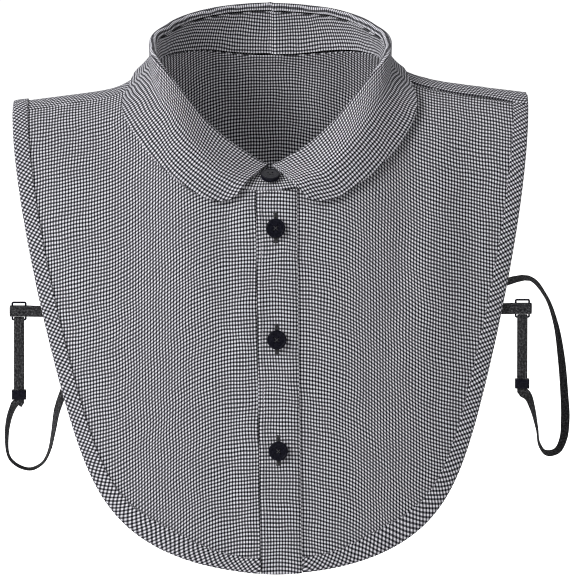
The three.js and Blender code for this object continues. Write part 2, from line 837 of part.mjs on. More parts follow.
function buttonGeometry() {
  const outline = new THREE.Shape();
  outline.absarc(0, 0, buttonDiameter / 2 - buttonBevel, 0, 2 * Math.PI, false);
  for (const [x, y] of [[1, 1], [-1, 1], [-1, -1], [1, -1]]) {
    const hole = new THREE.Path();
    hole.absarc(x * buttonHoleSpacing, y * buttonHoleSpacing, buttonHoleRadius + buttonBevel / 2, 0,
      2 * Math.PI, true);
    outline.holes.push(hole);
  }
  const geometry = new THREE.ExtrudeGeometry(outline, {
    depth: buttonThickness - buttonBevel,
    bevelEnabled: true,
    bevelSize: buttonBevel / 2,
    bevelThickness: buttonBevel / 2,
    bevelSegments: 1,
    curveSegments: buttonSteps,
  });
  geometry.translate(0, 0, buttonBevel / 2);
  return geometry;
}

function addButton(group, name, seat, normal) {
  const button = addMesh(group, name, buttonGeometry(), blackButton);
  button.position.copy(seat).addScaledVector(normal, gap);
  button.quaternion.setFromUnitVectors(new THREE.Vector3(0, 0, 1), normal);
  return button;
}

// Strap parts

// A closed wire round a flat rectangle with round corners.
function wireRing(width, height, corner, wire) {
  const path = [];
  for (let quarter = 0; quarter < 4; quarter += 1) {
    const signX = quarter === 0 || quarter === 3 ? 1 : -1;
    const signZ = quarter < 2 ? 1 : -1;
    for (let i = 0; i <= cornerSteps; i += 1) {
      const turn = (quarter + i / cornerSteps) * Math.PI / 2;
      const away = new THREE.Vector3(Math.cos(turn), 0, Math.sin(turn));
      const centre = new THREE.Vector3(signX * (width / 2 - corner), 0, signZ * (height / 2 - corner));
      path.push({ point: centre.addScaledVector(away, corner), away });
    }
  }
  const points = [];
  const triangles = [];
  path.forEach(({ point, away }, i) => {
    for (let k = 0; k < wireSides; k += 1) {
      const turn = 2 * Math.PI * k / wireSides;
      points.push(point.clone().addScaledVector(away, Math.cos(turn) * wire / 2)
        .add(new THREE.Vector3(0, Math.sin(turn) * wire / 2, 0)));
      const next = (i + 1) % path.length;
      const turnOn = (k + 1) % wireSides;
      const [here, there] = [i * wireSides, next * wireSides];
      triangles.push([here + k, there + k, there + turnOn], [here + k, there + turnOn, here + turnOn]);
    }
  });
  return meshFrom(points, triangles);
}

// Points of a half turn round a bar, in the plane of two directions.
function halfTurn(centre, radius, first, second) {
  const points = [];
  for (let i = 0; i <= halfTurnSteps; i += 1) {
    const turn = Math.PI * i / halfTurnSteps;
    points.push(centre.clone().addScaledVector(first, radius * Math.cos(turn))
      .addScaledVector(second, radius * Math.sin(turn)));
  }
  return points;
}

const ringInnerWidth = strapWidth + 2 * gap + ringEase;
const barWrapRadius = ringWire / 2 + gap + strapWall / 2;

function addStrap(group, place, word) {
  const { side, ringAcross, ringUp, sliderAcross, sliderUp, seamUp, route } = place;
  const ringCentre = new THREE.Vector3(side * ringAcross, strapBack, ringUp);
  const ringWidth = ringInnerWidth + ringWire;
  const ring = addMesh(group, `strap_ring_${word}`,
    wireRing(ringWidth, ringHeight, ringCorner, ringWire), blackPlastic);
  ring.position.copy(ringCentre);

  const slider = new THREE.Shape();
  const outerX = strapWidth / 2 + gap + sliderWall;
  const outerY = barWrapRadius + strapWall / 2 + gap + sliderWall;
  slider.moveTo(-outerX, -outerY);
  slider.lineTo(outerX, -outerY);
  slider.lineTo(outerX, outerY);
  slider.lineTo(-outerX, outerY);
  slider.closePath();
  const opening = new THREE.Path();
  opening.moveTo(-outerX + sliderWall, -outerY + sliderWall);
  opening.lineTo(-outerX + sliderWall, outerY - sliderWall);
  opening.lineTo(outerX - sliderWall, outerY - sliderWall);
  opening.lineTo(outerX - sliderWall, -outerY + sliderWall);
  opening.closePath();
  slider.holes.push(opening);
  const sliderGeometry = new THREE.ExtrudeGeometry(slider, { depth: sliderHeight, bevelEnabled: false });
  sliderGeometry.translate(0, 0, -sliderHeight / 2);
  const sliderMesh = addMesh(group, `strap_slider_${word}`, sliderGeometry, blackPlastic);
  sliderMesh.position.set(side * sliderAcross, strapBack, sliderUp);

  // The elastic: up behind, round the lower bar of the ring, down in front
  // through the slider, then along its route to the back bib.
  const ahead = new THREE.Vector3(0, -1, 0);
  const behind = new THREE.Vector3(0, 1, 0);
  const upward = new THREE.Vector3(0, 0, 1);
  const acrossX = new THREE.Vector3(1, 0, 0);
  const bar = ringCentre.clone().addScaledVector(upward, -ringHeight / 2);
  const points = [];
  const faces = [];
  const put = (point, face) => {
    points.push(point);
    faces.push(face);
  };
  const sliderBottom = sliderUp - sliderHeight / 2;
  put(new THREE.Vector3(side * sliderAcross, strapBack + barWrapRadius, sliderBottom + tuckedEnd), 1);
  for (const point of halfTurn(bar, barWrapRadius, behind, upward)) {
    put(point, 1);
  }
  put(new THREE.Vector3(side * sliderAcross, strapBack - barWrapRadius, sliderUp), 1);
  const below = sliderBottom - straightBelowSlider;
  put(new THREE.Vector3(side * sliderAcross, strapBack - barWrapRadius, below), 1);

  const anchor = backAnchor(side, seamUp);
  const knots = [points[points.length - 1].clone(),
    ...route.map((row) => new THREE.Vector3(row.across, row.back, row.up)),
    anchor.below, anchor.start, anchor.end];
  const knotFaces = [1, ...route.map((row) => row.face), 1, 1, 1];
  const curve = new THREE.CatmullRomCurve3(knots, false, 'centripetal');
  const steps = strapSteps * (knots.length - 1);
  for (let i = 1; i <= steps; i += 1) {
    const share = i / steps;
    const index = Math.min(knots.length - 2, Math.floor(share * (knots.length - 1)));
    const rest = share * (knots.length - 1) - index;
    put(curve.getPoint(share), mix(knotFaces[index], knotFaces[index + 1], rest));
  }
  const widths = points.map((point, i) => {
    const tangent = new THREE.Vector3().subVectors(
      points[Math.min(points.length - 1, i + 1)], points[Math.max(0, i - 1)]).normalize();
    const deep = behind.clone().addScaledVector(tangent, -behind.dot(tangent));
    if (deep.length() < edgeOnLimit) {
      return acrossX.clone();
    }
    deep.normalize();
    const flat = tangent.clone().cross(deep);
    const turn = faces[i] * Math.PI / 2;
    return deep.multiplyScalar(Math.cos(turn)).addScaledVector(flat, Math.sin(turn));
  });
  const last = widths.length - 1;
  for (let i = last - strapEndSteps + 1; i <= last; i += 1) {
    widths[i] = anchor.across.clone().lerp(widths[i], ((last - i) / strapEndSteps) ** 2);
  }
  for (let i = 1; i < widths.length; i += 1) {
    if (widths[i].dot(widths[i - 1]) < 0) {
      widths[i].negate();
    }
  }
  addMesh(group, `elastic_strap_${word}`, ribbon(points, widths, strapWidth, strapWall), blackElastic);

  // The tab: from behind the front binding through the ring and back round its
  // outer bar.
  const outward = acrossX.clone().multiplyScalar(side);
  const innerBar = ringCentre.clone().addScaledVector(outward, -ringWidth / 2);
  const outerBar = ringCentre.clone().addScaledVector(outward, ringWidth / 2);
  const legs = frontAnchor(side, ringUp);
  const tabPoints = [
    ...legs.near,
    innerBar.clone().addScaledVector(ahead, barWrapRadius),
    ...halfTurn(outerBar, barWrapRadius, ahead, outward),
    innerBar.clone().addScaledVector(behind, barWrapRadius),
    ...legs.far.reverse(),
  ];
  addMesh(group, `strap_tab_${word}`,
    ribbon(tabPoints, tabPoints.map(() => upward), tabWidth, strapWall), blackElastic);
}

// Where the elastic is sewn to the inner face of the back binding.
function backAnchor(side, up) {
  const insideOf = clothWall / 2 + gap + bindingWall + seamSlack + strapWall / 2;
  const flatAt = (z) => {
    const x = halfWidthAt(z, backLength) - bindingWidth / 2;
    return [side * x, alongFromHeight(x, z, -1)];
  };
  const [x, s] = flatAt(up + anchorLength / 2);
  return {
    below: drape(...flatAt(up - anchorLength), -insideOf - anchorDrop),
    start: drape(...flatAt(up), -insideOf),
    end: drape(...flatAt(up + anchorLength), -insideOf),
    across: formPoint(x + formStep, s).sub(formPoint(x - formStep, s)).normalize(),
  };
}

// Where the two legs of a tab lie behind the front binding.
function frontAnchor(side, up) {
  const first = clothWall / 2 + gap + bindingWall + seamSlack + strapWall / 2;
  const second = first + strapWall + gap;
  const edge = halfWidthAt(up, frontLength);
  const pointAt = (from, height) => {
    const x = edge - from;
    return drape(side * x, alongFromHeight(x, up, 1), -height);
  };
  return {
    near: [pointAt(bindingWidth + tabInset, first), pointAt(tabInset, first)],
    far: [pointAt(bindingWidth + tabInset, second), pointAt(tabInset, second)],
  };
}

// Assembly

const shirtFront = new THREE.Group();
addMesh(shirtFront, 'back_panel', backPanel(), checkedCloth);
addMesh(shirtFront, 'front_panel_left', frontPanel(-1), checkedCloth);
addMesh(shirtFront, 'front_panel_right', frontPanel(1), checkedCloth);
addMesh(shirtFront, 'button_placket', placket(), checkedCloth);
addMesh(shirtFront, 'edge_binding_left', edgeBinding(-1), biasCloth);
addMesh(shirtFront, 'edge_binding_right', edgeBinding(1), biasCloth);
addMesh(shirtFront, 'collar_stand', collarStand(), checkedCloth);
addMesh(shirtFront, 'collar_fall', collarFall(), checkedCloth);

for (let i = 0; i < buttonCount; i += 1) {
  const s = mix(firstButtonDown, lastButtonDown, i / (buttonCount - 1));
  const x = placketCentre + buttonAcross;
  addButton(shirtFront, `placket_button_${i + 1}`, drape(x, s, lapLift + placketWall / 2), formNormal(x, s));
}
const neckFront = neckFrame(-Math.PI);
const collarSeat = neckFront.seam.clone().lerp(neckFront.fold, collarButtonUp)
  .addScaledVector(neckFront.out, standWall / 2 + standBow + collarButtonRise);
addButton(shirtFront, 'collar_button', collarSeat, neckFront.out);
addStrap(shirtFront, strapPlaces.left, 'left');
addStrap(shirtFront, strapPlaces.right, 'right');

export default shirtFront;
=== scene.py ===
import math

import bpy
import numpy as np
from mathutils import Matrix, Vector


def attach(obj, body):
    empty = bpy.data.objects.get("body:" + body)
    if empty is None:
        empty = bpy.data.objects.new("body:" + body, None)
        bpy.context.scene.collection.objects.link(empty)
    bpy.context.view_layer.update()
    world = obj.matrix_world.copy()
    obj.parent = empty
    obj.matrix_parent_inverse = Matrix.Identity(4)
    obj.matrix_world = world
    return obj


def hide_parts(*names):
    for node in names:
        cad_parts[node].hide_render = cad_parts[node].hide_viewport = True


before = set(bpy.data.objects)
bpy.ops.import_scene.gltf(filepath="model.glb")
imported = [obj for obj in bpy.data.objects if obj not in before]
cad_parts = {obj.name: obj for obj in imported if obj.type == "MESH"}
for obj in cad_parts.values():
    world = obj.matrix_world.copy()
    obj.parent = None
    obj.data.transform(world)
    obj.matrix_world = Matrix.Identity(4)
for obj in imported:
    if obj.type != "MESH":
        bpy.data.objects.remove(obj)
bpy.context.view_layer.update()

bl_info = {
    "name": "Detachable shirt front",
    "version": (1, 0, 0),
    "blender": (4, 5, 0),
    "location": "View3D > Sidebar > Shirt front",
    "description": "Dresses a shirt front in checked cloth, stitches, buttons and elastic straps",
    "category": "Add Mesh",
}

# The cloth and the form it hangs on: the same sizes as the construction, in metres

cloth_wall = 0.0010
gap = 0.0003
shoulder_half_width = 0.1538
front_length = 0.2729
back_length = 0.215
side_taper = 0.388
taper_power = 1.45
hem_squareness = 13
hem_roundness = 1.87
hang_shift = 0.0032
hang_power = 1.5
shoulder_height = 0.0102
shoulder_slope = 0.118
shoulder_tilt = 0.0021
shoulder_tilt_from = 0.070
shoulder_tilt_full = 0.095
shoulder_tilt_down = 0.090
ridge_round = 0.048
neck_rise = 0.0279
neck_rise_half_width = 0.071
neck_rise_power = 4.4
ridge_back_at_shoulder = 0.005
ridge_back_at_neck = 0.020
crown_radius_at_shoulder = 0.020
crown_radius_at_neck = 0.040
chest_depth_at_side = 0.056
chest_depth_at_middle = 0.102
back_depth_at_side = 0.050
back_depth_at_middle = 0.065
neck_half_width = 0.0665
neck_half_depth_back = 0.057
neck_half_depth_front = 0.0592
neck_egg = 0.12
neck_squareness = 3.0
collar_rise = 0.0636
stand_wall = 0.0018
stand_bow = 0.0012
stand_to_fall = 0.0012
stand_above_seam = 0.0005
seam_lag = 0.08
fall_wall = 0.0014
fall_inner_leg = 0.0032
fold_radius = 0.0016
fold_turn = 0.8
fall_end_half_gap = 0.006
fall_seam_half_gap = 0.015
fall_lift = 0.0031
fall_bulge = 0.008
fall_over_stand = 0.0045
fall_seam_share = 0.4
fall_free_until = 0.2
fall_free_fade = 0.3
fall_width_back = 0.062
fall_point_depth = 0.138
fall_half_spread = 0.0875
fall_end_round_start = 0.48
fall_end_round_reach = 0.125
placket_width = 0.024
placket_centre = 0.0035
placket_wall = 0.0018
forward_seam = 0.015
seam_gap = 0.00005
strip_lean = 0.45
front_reach = 0.0019
placket_reach = 0.0011
panel_reach = 0.0007
stand_overlap = 0.014
lap_run = 0.018
clear_of_edge = 0.002
binding_width = 0.009
binding_wall = 0.0008
button_radius = 0.00565
button_thickness = 0.0024
first_button_down = 0.148
last_button_down = 0.280
button_count = 3
button_across = -0.0006
collar_button_up = 0.35
collar_button_rise = 0.0009
strap_width = 0.006
strap_wall = 0.0008
ring_wire = 0.0011
ring_height = 0.0102
ring_corner = 0.0007
tab_width = 0.0064
slider_height = 0.0055
slider_wall = 0.0009
anchor_length = 0.012
seam_slack = 0.0009
strap_back = -0.049
millimetres = 1000

# Shares, powers and distances of the form
ridge_power = 1.5
outline_turn_power = 7
fall_seam_power = 4
fall_smoothing = 0.10
fall_round_from, fall_round_full = 0.5, 0.75
back_seam_down = 0.045
folds_below_shoulder = 0.036
folds_beside_placket = 0.001
creases_beside_placket = 0.006
lap_flat = 0.004
stand_underlap_share = 0.7
outer_lap_from, outer_lap_full = 0.8 * math.pi, 0.92 * math.pi
placket_pillow_power = 8
placket_check_shift = (0.0006, 0.0009)
topstitch_inset, topstitch_sunk = 0.003, 0.00003
topstitch_below_neck, topstitch_above_hem = 0.002, 0.001
underlap_start, underlap_beyond = 0.002, 0.003
binding_puff = 0.00012
form_step = 0.00005
angle_step = 0.01

# Numbers of points
tracing_steps = 600
up_steps, over_steps, down_steps = 96, 36, 64
panel_columns = 44
binding_columns = (0.35, 0.7, 1.0)
underlap_columns = 9
placket_columns, placket_rows = 17, 150
binding_leg_rows, binding_turn_rows = 7, 9
stand_stations, stand_rows = 220, 13
fold_steps = 12
fall_stations, leaf_steps = 110, 34
button_sides = 64
knot_steps = 8
seam_blend = 16

# Buttons, buttonholes and sliders
hole_offset = 0.00125
hole_radius = 0.00062
button_bevel = 0.00025
button_dish = 0.0001
rim_inset = 0.0009
rim_half_width, rim_half_height = 0.00062, 0.00032
rim_down = 0.0004
button_thread_radius = 0.00016
thread_sunk, thread_arch, thread_arch_power = 0.0009, 0.0011, 0.35
buttonhole_rise = 0.0005
bar_pitch = 0.00036
bar_from, bar_to = 0.00008, 0.00095
end_bar_half, end_bar_pitch = 0.0011, 0.0003
cord_offset = 0.00045
slider_bevel = 0.0002
slider_corner, slider_hole_corner = 0.0006, 0.0003
ring_play = 0.0002
strap_end_above, strap_below_slider = 0.001, 0.002
strap_off_seam = 0.003
tab_bends = (binding_width + 0.001, 0.005, 0.001)

# Pitch, length and thread width of the stitches of a buttonhole
bar_stitch = (0.0005, 0.0009, 0.00036)
cord_stitch = (0.0006, 0.0012, 0.0006)

# Fold line of the collar: shares of the neck's half width, front half depth and collar's rise
fold_rows = {
    "across": (0.000, 0.299, 0.545, 0.742, 0.892, 1.033, 1.002, 0.829, 0.586, 0.291, 0.000),
    "back": (0.855, 0.834, 0.761, 0.641, 0.444, 0.171, -0.171, -0.420, -0.555, -0.643, -0.672),
    "up": (1.000, 0.988, 0.962, 0.912, 0.848, 0.754, 0.580, 0.303, -0.014, -0.274, -0.446),
}

# Outer edge of the collar: shares of its half spread and of its depth behind or in front
edge_rows = {
    "across": (0.00, 0.30, 0.56, 0.73, 0.82, 0.93, 0.985, 0.86, 0.68, 0.49, 0.30),
    "over": (-1.00, -0.95, -0.77, -0.48, -0.15, 0.10, 0.262, 0.474, 0.700, 0.873, 1.000),
}

# Soft folds: middle across and down, lean in degrees, half width, half length, height
cloth_folds = (
    (-0.49, 0.13, -58, 0.075, 0.20, 0.0016),
    (-0.60, 0.22, -58, 0.070, 0.18, -0.0011),
    (0.62, 0.42, 4, 0.075, 0.30, 0.0015),
    (0.77, 0.40, 3, 0.060, 0.28, -0.0011),
    (-0.30, 0.55, -8, 0.110, 0.26, 0.0012),
    (-0.22, -0.28, 12, 0.090, 0.22, 0.0018),
    (0.18, -0.33, -10, 0.080, 0.24, -0.0016),
)

# Smaller creases that only the cloth itself shows, in the same columns
fine_folds = (
    (-0.17, 0.42, 3, 0.030, 0.13, -0.0005),
    (-0.40, 0.30, -30, 0.035, 0.14, 0.0004),
    (0.35, 0.30, 20, 0.040, 0.12, 0.0004),
    (0.48, 0.55, 8, 0.035, 0.20, -0.0004),
    (-0.75, 0.50, -12, 0.040, 0.16, 0.0005),
    (-0.12, 0.80, 5, 0.050, 0.10, 0.0004),
    (0.30, 0.82, -14, 0.050, 0.12, 0.0005),
    (0.05, -0.22, 35, 0.040, 0.10, 0.0007),
    (-0.38, -0.35, -20, 0.040, 0.12, 0.0008),
    (0.42, -0.45, 10, 0.050, 0.16, 0.0007),
)

# Routes of the straps below their sliders: across, back, up and how far the band faces the front
strap_routes = {
    "left": (
        (-0.1514, -0.045, -0.1670, 0.45),
        (-0.1544, -0.041, -0.1735, 0.33),
        (-0.1568, -0.034, -0.1861, 0.19),
        (-0.1562, -0.024, -0.2009, 0.05),
        (-0.1516, -0.017, -0.2075, 0.02),
        (-0.1440, -0.007, -0.2112, 0.02),
        (-0.1372, 0.002, -0.2087, 0.05),
        (-0.1336, 0.009, -0.2025, 0.15),
        (-0.1315, 0.016, -0.1925, 0.26),
        (-0.1292, 0.023, -0.1792, 0.40),
    ),
    "right": (
        (0.1527, -0.045, -0.1617, 0.55),
        (0.1556, -0.042, -0.1693, 0.32),
        (0.1586, -0.036, -0.1822, 0.12),
        (0.1604, -0.029, -0.1929, 0.12),
        (0.1646, -0.023, -0.1989, 0.20),
        (0.1720, -0.014, -0.1989, 0.28),
        (0.1760, -0.007, -0.1927, 0.45),
        (0.1774, 0.000, -0.1816, 0.60),
        (0.1772, 0.008, -0.1687, 0.50),
        (0.1759, 0.018, -0.1488, 0.45),
        (0.1726, 0.028, -0.1272, 0.25),
        (0.1666, 0.036, -0.1114, 0.18),
        (0.1570, 0.040, -0.1016, 0.35),
    ),
}

# Strap places: side, ring across and up, slider across and up, seam on the back bib
strap_places = {
    "left": (-1, 0.1483, -0.1104, 0.1486, -0.1602, -0.122),
    "right": (1, 0.1489, -0.1088, 0.1490, -0.1536, -0.099),
}


# General helpers


def mix(a, b, share):
    return a + (b - a) * share


def smooth_step(start, end, value):
    share = np.clip((value - start) / (end - start), 0, 1)
    return share * share * (3 - 2 * share)


def unit(vectors):
    return vectors / np.linalg.norm(vectors, axis=-1, keepdims=True)


def row_value(column, share, mirror, ends_in_middle):
    """A column of evenly spaced values, smoothed through its neighbours."""
    place = min(0.999999, max(0.0, share)) * (len(column) - 1)
    index = int(place)
    step = place - index

    def value(i):
        if i < 0:
            return mirror * column[1]
        if i >= len(column):
            return mirror * column[-2] if ends_in_middle else 2 * column[-1] - column[-2]
        return column[i]

    before, start, end, after = (value(index + k) for k in (-1, 0, 1, 2))
    return 0.5 * (
        2 * start
        + (end - before) * step
        + (2 * before - 5 * start + 4 * end - after) * step**2
        + (3 * start - before - 3 * end + after) * step**3
    )


def lengths_along(points):
    """Distance along a line of points, from its first."""
    steps = np.linalg.norm(np.diff(points, axis=0), axis=-1)
    return np.concatenate([[0], np.cumsum(steps)])


def evenly(trace, steps):
    """Points at even distances along a curve that a function traces from 0 to 1."""
    dense = np.array([trace(i / tracing_steps) for i in range(tracing_steps + 1)])
    lengths = lengths_along(dense)
    wanted = np.linspace(0, lengths[-1], steps + 1)
    return np.stack([np.interp(wanted, lengths, column) for column in dense.T], axis=1)


def bisect(test, low, high):
    for _ in range(50):
        middle = (low + high) / 2
        if test(middle):
            low = middle
        else:
            high = middle
    return low


# Body form: cloth is laid out flat, x across and s along it from the shoulder, then draped


def share_out(x):
    return np.minimum(1, np.abs(x) / shoulder_half_width)


def ridge_height(x):
    away = np.where(np.abs(x) < ridge_round, (x * x / ridge_round + ridge_round) / 2, np.abs(x))
    slope = shoulder_height + shoulder_slope * (shoulder_half_width - away)
    return slope + neck_rise * np.exp(-((np.abs(x) / neck_rise_half_width) ** neck_rise_power))


def ridge_back(x):
    return mix(ridge_back_at_neck, ridge_back_at_shoulder, share_out(x) ** ridge_power)


def crown_radius(x):
    return mix(crown_radius_at_neck, crown_radius_at_shoulder, share_out(x) ** ridge_power)


def depth_of(x, s):
    middle = np.where(s > 0, chest_depth_at_middle, back_depth_at_middle)
    side = np.where(s > 0, chest_depth_at_side, back_depth_at_side)
    return mix(middle, side, share_out(x) ** 2)


def sum_of_folds(table, x, s):
    height = np.zeros(np.broadcast(x, s).shape)
    ratio = front_length / shoulder_half_width
    for across, down, lean, wide, long, tall in table:
        turn = math.radians(lean)
        dx = x / shoulder_half_width - across
        dy = (s / front_length - down) * ratio
        cross = dx * math.cos(turn) + dy * math.sin(turn)
        along = -dx * math.sin(turn) + dy * math.cos(turn)
        height = height + tall * np.exp(-((cross / wide) ** 2) - (along / (long * ratio)) ** 2)
    return height


def fold_height(x, s):
    beside = np.abs(x - placket_centre)
    edge = placket_width / 2
    clear_of_placket = smooth_step(edge + folds_beside_placket, placket_width + lap_run, beside)
    big = sum_of_folds(cloth_folds, x, s) * np.where(s > 0, clear_of_placket, 1)
    fine = sum_of_folds(fine_folds, x, s) * smooth_step(edge, edge + creases_beside_placket, beside)
    return (big + fine) * smooth_step(forward_seam, folds_below_shoulder, np.abs(s))


def tilt(x, s):
    """One shoulder is held a little higher than the other."""
    beside_neck = smooth_step(shoulder_tilt_from, shoulder_tilt_full, np.abs(x))
    above = 1 - smooth_step(0, shoulder_tilt_down, np.abs(s))
    return np.sign(x) * shoulder_tilt * beside_neck * above


def form_point(x, s):
    x, s = np.broadcast_arrays(np.asarray(x, float), np.asarray(s, float))
    crown = crown_radius(x)
    z = ridge_height(x) + tilt(x, s) - (np.hypot(s, crown) - crown)
    y = ridge_back(x) - s / np.hypot(1, s / depth_of(x, s))
    hang = hang_shift * np.maximum(0, (shoulder_height - z) / front_length) ** hang_power
    return np.stack([x + hang, y, z], axis=-1)


def form_normal(x, s):
    across = form_point(x + form_step, s) - form_point(x - form_step, s)
    down = form_point(x, s + form_step) - form_point(x, s - form_step)
    return unit(np.cross(down, across))


def drape(x, s, height):
    lift = np.asarray(height + fold_height(x, s))
    return form_point(x, s) + form_normal(x, s) * lift[..., None]


def along_from_depth(x, y):
    forward = ridge_back(x) - y
    depth = depth_of(x, forward)
    return forward / np.sqrt(1 - (forward / depth) ** 2)


def along_from_height(x, z, side):
    crown = crown_radius(x)
    return side * np.sqrt(np.maximum(0, (ridge_height(x) - z + crown) ** 2 - crown**2))


# Neck seam and outline of the bib


def neck_flat(angle):
    cos = math.cos(angle)
    power = 1 if cos > 0 else 2 / neck_squareness
    sin = math.copysign(abs(math.sin(angle)) ** power, math.sin(angle))
    y = neck_half_depth_back * cos if cos > 0 else -neck_half_depth_front * (-cos) ** power
    x = neck_half_width * sin * (1 + neck_egg * cos)
    return np.array([x, float(along_from_depth(x, y))])


def neck_angle(test):
    return bisect(lambda angle: test(neck_flat(angle)), 0.0, math.pi)


def neck_edge(angle):
    along = unit(neck_flat(angle + angle_step) - neck_flat(angle - angle_step))
    seam = neck_flat(angle)
    return np.array([seam[0] + along[1] * stand_wall / 2, seam[1] - along[0] * stand_wall / 2])


def trace_outline(share, length, side):
    turn = (math.pi / 2) * share**outline_turn_power
    down = math.sin(turn) ** (2 / hem_squareness)
    hem = max(0.0, math.cos(turn)) ** (2 / hem_roundness)
    x = shoulder_half_width * (1 - side_taper * down**taper_power) * hem
    return np.array([x, float(along_from_height(x, shoulder_height - down * length, side))])


def outline_stations(opening_edge):
    """The flat outline of one side: up the front, over the shoulder and down the back."""

    def front(share):
        return trace_outline(1 - share, front_length, 1)

    def back(share):
        return trace_outline(share, back_length, -1)

    opening = bisect(lambda t: front(t)[0] < opening_edge, 0.0, 1.0)
    seam = bisect(lambda t: front(t)[1] > forward_seam, 0.0, 1.0)
    back_seam = bisect(lambda t: back(t)[1] > -back_seam_down, 0.0, 1.0)
    up = evenly(lambda share: front(mix(opening, seam, share)), up_steps)
    down = evenly(lambda share: back(mix(back_seam, 1, share)), down_steps)
    over = []
    for i in range(1, over_steps):
        s = mix(up[-1][1], down[0][1], i / over_steps)
        end = up[-1] if s > 0 else down[0]
        over.append([mix(shoulder_half_width, end[0], (s / end[1]) ** 2), s])
    return np.concatenate([up, over, down])


def inset(stations, distance):
    before = np.concatenate([stations[:1], stations[:-1]])
    after = np.concatenate([stations[1:], stations[-1:]])
    along = unit(after - before)
    along[0] = (1, 0)
    along[-1] = (-1, 0)
    return stations + np.stack([along[:, 1], -along[:, 0]], axis=1) * distance


lap_lift = cloth_wall / 2 + gap + placket_wall / 2
placket_left = placket_centre - placket_width / 2
placket_right = placket_centre + placket_width / 2
edge_inset = binding_wall + gap


def opening_of(side):
    """Where a front ends at the opening, across from the middle on its own side."""
    return -placket_left + gap if side < 0 else placket_right + gap


def front_lift(x, side):
    if side > 0:
        return np.zeros(np.shape(x))
    return lap_lift * smooth_step(placket_left - lap_run, placket_left - lap_flat, x)


# Collar


def mirrored(angle):
    beyond = abs(angle) > math.pi
    inside = 2 * math.pi - abs(angle) if beyond else abs(angle)
    side = math.copysign(1, angle) * (-1 if beyond else 1)
    return inside, side


def seam_point(angle):
    inside, side = mirrored(angle)
    flat = neck_flat(inside)
    return form_point(side * flat[0], flat[1])


def fold_point(angle):
    inside, side = mirrored(angle)
    share = inside / math.pi
    return np.array([
        side * neck_half_width * row_value(fold_rows["across"], share, -1, True),
        neck_half_depth_front * row_value(fold_rows["back"], share, 1, True),
        collar_rise * row_value(fold_rows["up"], share, 1, True),
    ])


def square_to(direction, line):
    return unit(direction - line * np.dot(direction, line))


def collar_lap(angle, x):
    if angle > 0:
        return 0
    start, full = -2 * stand_overlap - lap_run, clear_of_edge - stand_overlap
    return (stand_wall + gap) * float(smooth_step(start, full, x))


def neck_frame(angle):
    """Flat seam, seam point, up and out there, fold point, up and out there."""
    seam_angle = angle - math.copysign(1, angle) * seam_lag * math.sin(angle) ** 2
    seam_along = unit(seam_point(seam_angle + angle_step) - seam_point(seam_angle - angle_step))
    fold_along = unit(fold_point(angle + angle_step) - fold_point(angle - angle_step))
    seam, fold = seam_point(seam_angle), fold_point(angle)
    up = square_to(fold - seam, seam_along)
    out = np.cross(up, seam_along)
    fold_up = square_to(fold - seam, fold_along)
    fold_out = np.cross(fold_up, fold_along)
    lap = collar_lap(angle, seam[0])
    inside, side = mirrored(seam_angle)
    flat = neck_flat(inside) * (side, 1)
    return flat, seam + out * lap, up, out, fold + fold_out * lap, fold_up, fold_out


def fall_edge(share, side):
    over = row_value(edge_rows["over"], share, 1, False)
    across = row_value(edge_rows["across"], share, -1, False)
    depth = fall_width_back if over < 0 else fall_point_depth
    return np.array([side * fall_half_spread * across, over * depth])


def fall_on_bib(flat, side):
    x, s = flat
    over_placket = 1 - smooth_step(placket_right + clear_of_edge, placket_right + lap_run, x)
    under = front_lift(x, side) if side < 0 else lap_lift * over_placket
    return drape(x, s, fall_lift + (under if s > 0 else 0))


def fall_line(share, side, end_angle, seam_end_angle):
    """The fixed points of one line of the collar, and a function for its leaf."""
    _, foot, _, _, fold, up, out = neck_frame(side * share * end_angle)
    over_lap = 0.0
    if side > 0:
        past = smooth_step(stand_overlap + clear_of_edge, stand_overlap + lap_run, foot[0])
        over_lap = (stand_wall + gap) * float(1 - past)
    spread = 1 + over_lap / (2 * fold_radius)
    head = [fold - up * fall_inner_leg]
    for i in range(fold_steps + 1):
        turn = math.pi * fold_turn * i / fold_steps
        outward, rise = spread * (1 - math.cos(turn)), math.sin(turn) - 1
        head.append(fold + (out * outward + up * rise) * fold_radius)
    start = head[-1]
    flat_edge = fall_edge(share, side)
    edge = fall_on_bib(flat_edge, side)
    pull = mix(start, edge, 0.5) + out * fall_bulge
    seam_angle = share * mix(end_angle, seam_end_angle, share**fall_seam_power)
    foot_flat, foot, _, foot_out, _, _, _ = neck_frame(side * seam_angle)
    on_bib = form_normal(*foot_flat)
    clear = (on_bib + foot_out) * fall_over_stand / (1 + np.dot(on_bib, foot_out))
    corner = foot + foot_out * over_lap + clear
    corner_shift = corner - fall_on_bib(foot_flat, side)
    pulled = float(smooth_step(fall_free_until, fall_free_until + fall_free_fade, share))

    def follow(down):
        if down <= fall_seam_share:
            return mix(start, corner, down / fall_seam_share)
        onward = (down - fall_seam_share) / (1 - fall_seam_share)
        on_form = fall_on_bib(mix(foot_flat, flat_edge, onward), side)
        return on_form + corner_shift * (1 - onward) ** 2

    def leaf(down):
        hanging = (1 - down) ** 2 * start + 2 * down * (1 - down) * pull + down**2 * edge
        reach = min(fall_smoothing, down, 1 - down)
        rounded = sum(follow(down + reach * k) for k in (-1, -0.5, 0, 0.5, 1)) / 5
        return mix(hanging, rounded, pulled)

    return head, leaf


def leaf_reach(down):
    away = max(0.0, (down - fall_end_round_start) / (1 - fall_end_round_start))
    return 1 - fall_end_round_reach * (1 - math.sqrt(max(0.0, 1 - away * away)))


# Meshes


def thicken(grid, wall):
    """Outer and inner points of a wall round a grid of middle points."""
    along = np.gradient(grid, axis=0)
    across = np.gradient(grid, axis=1)
    normal = unit(np.cross(along, across)) * wall / 2
    return grid + normal, grid - normal


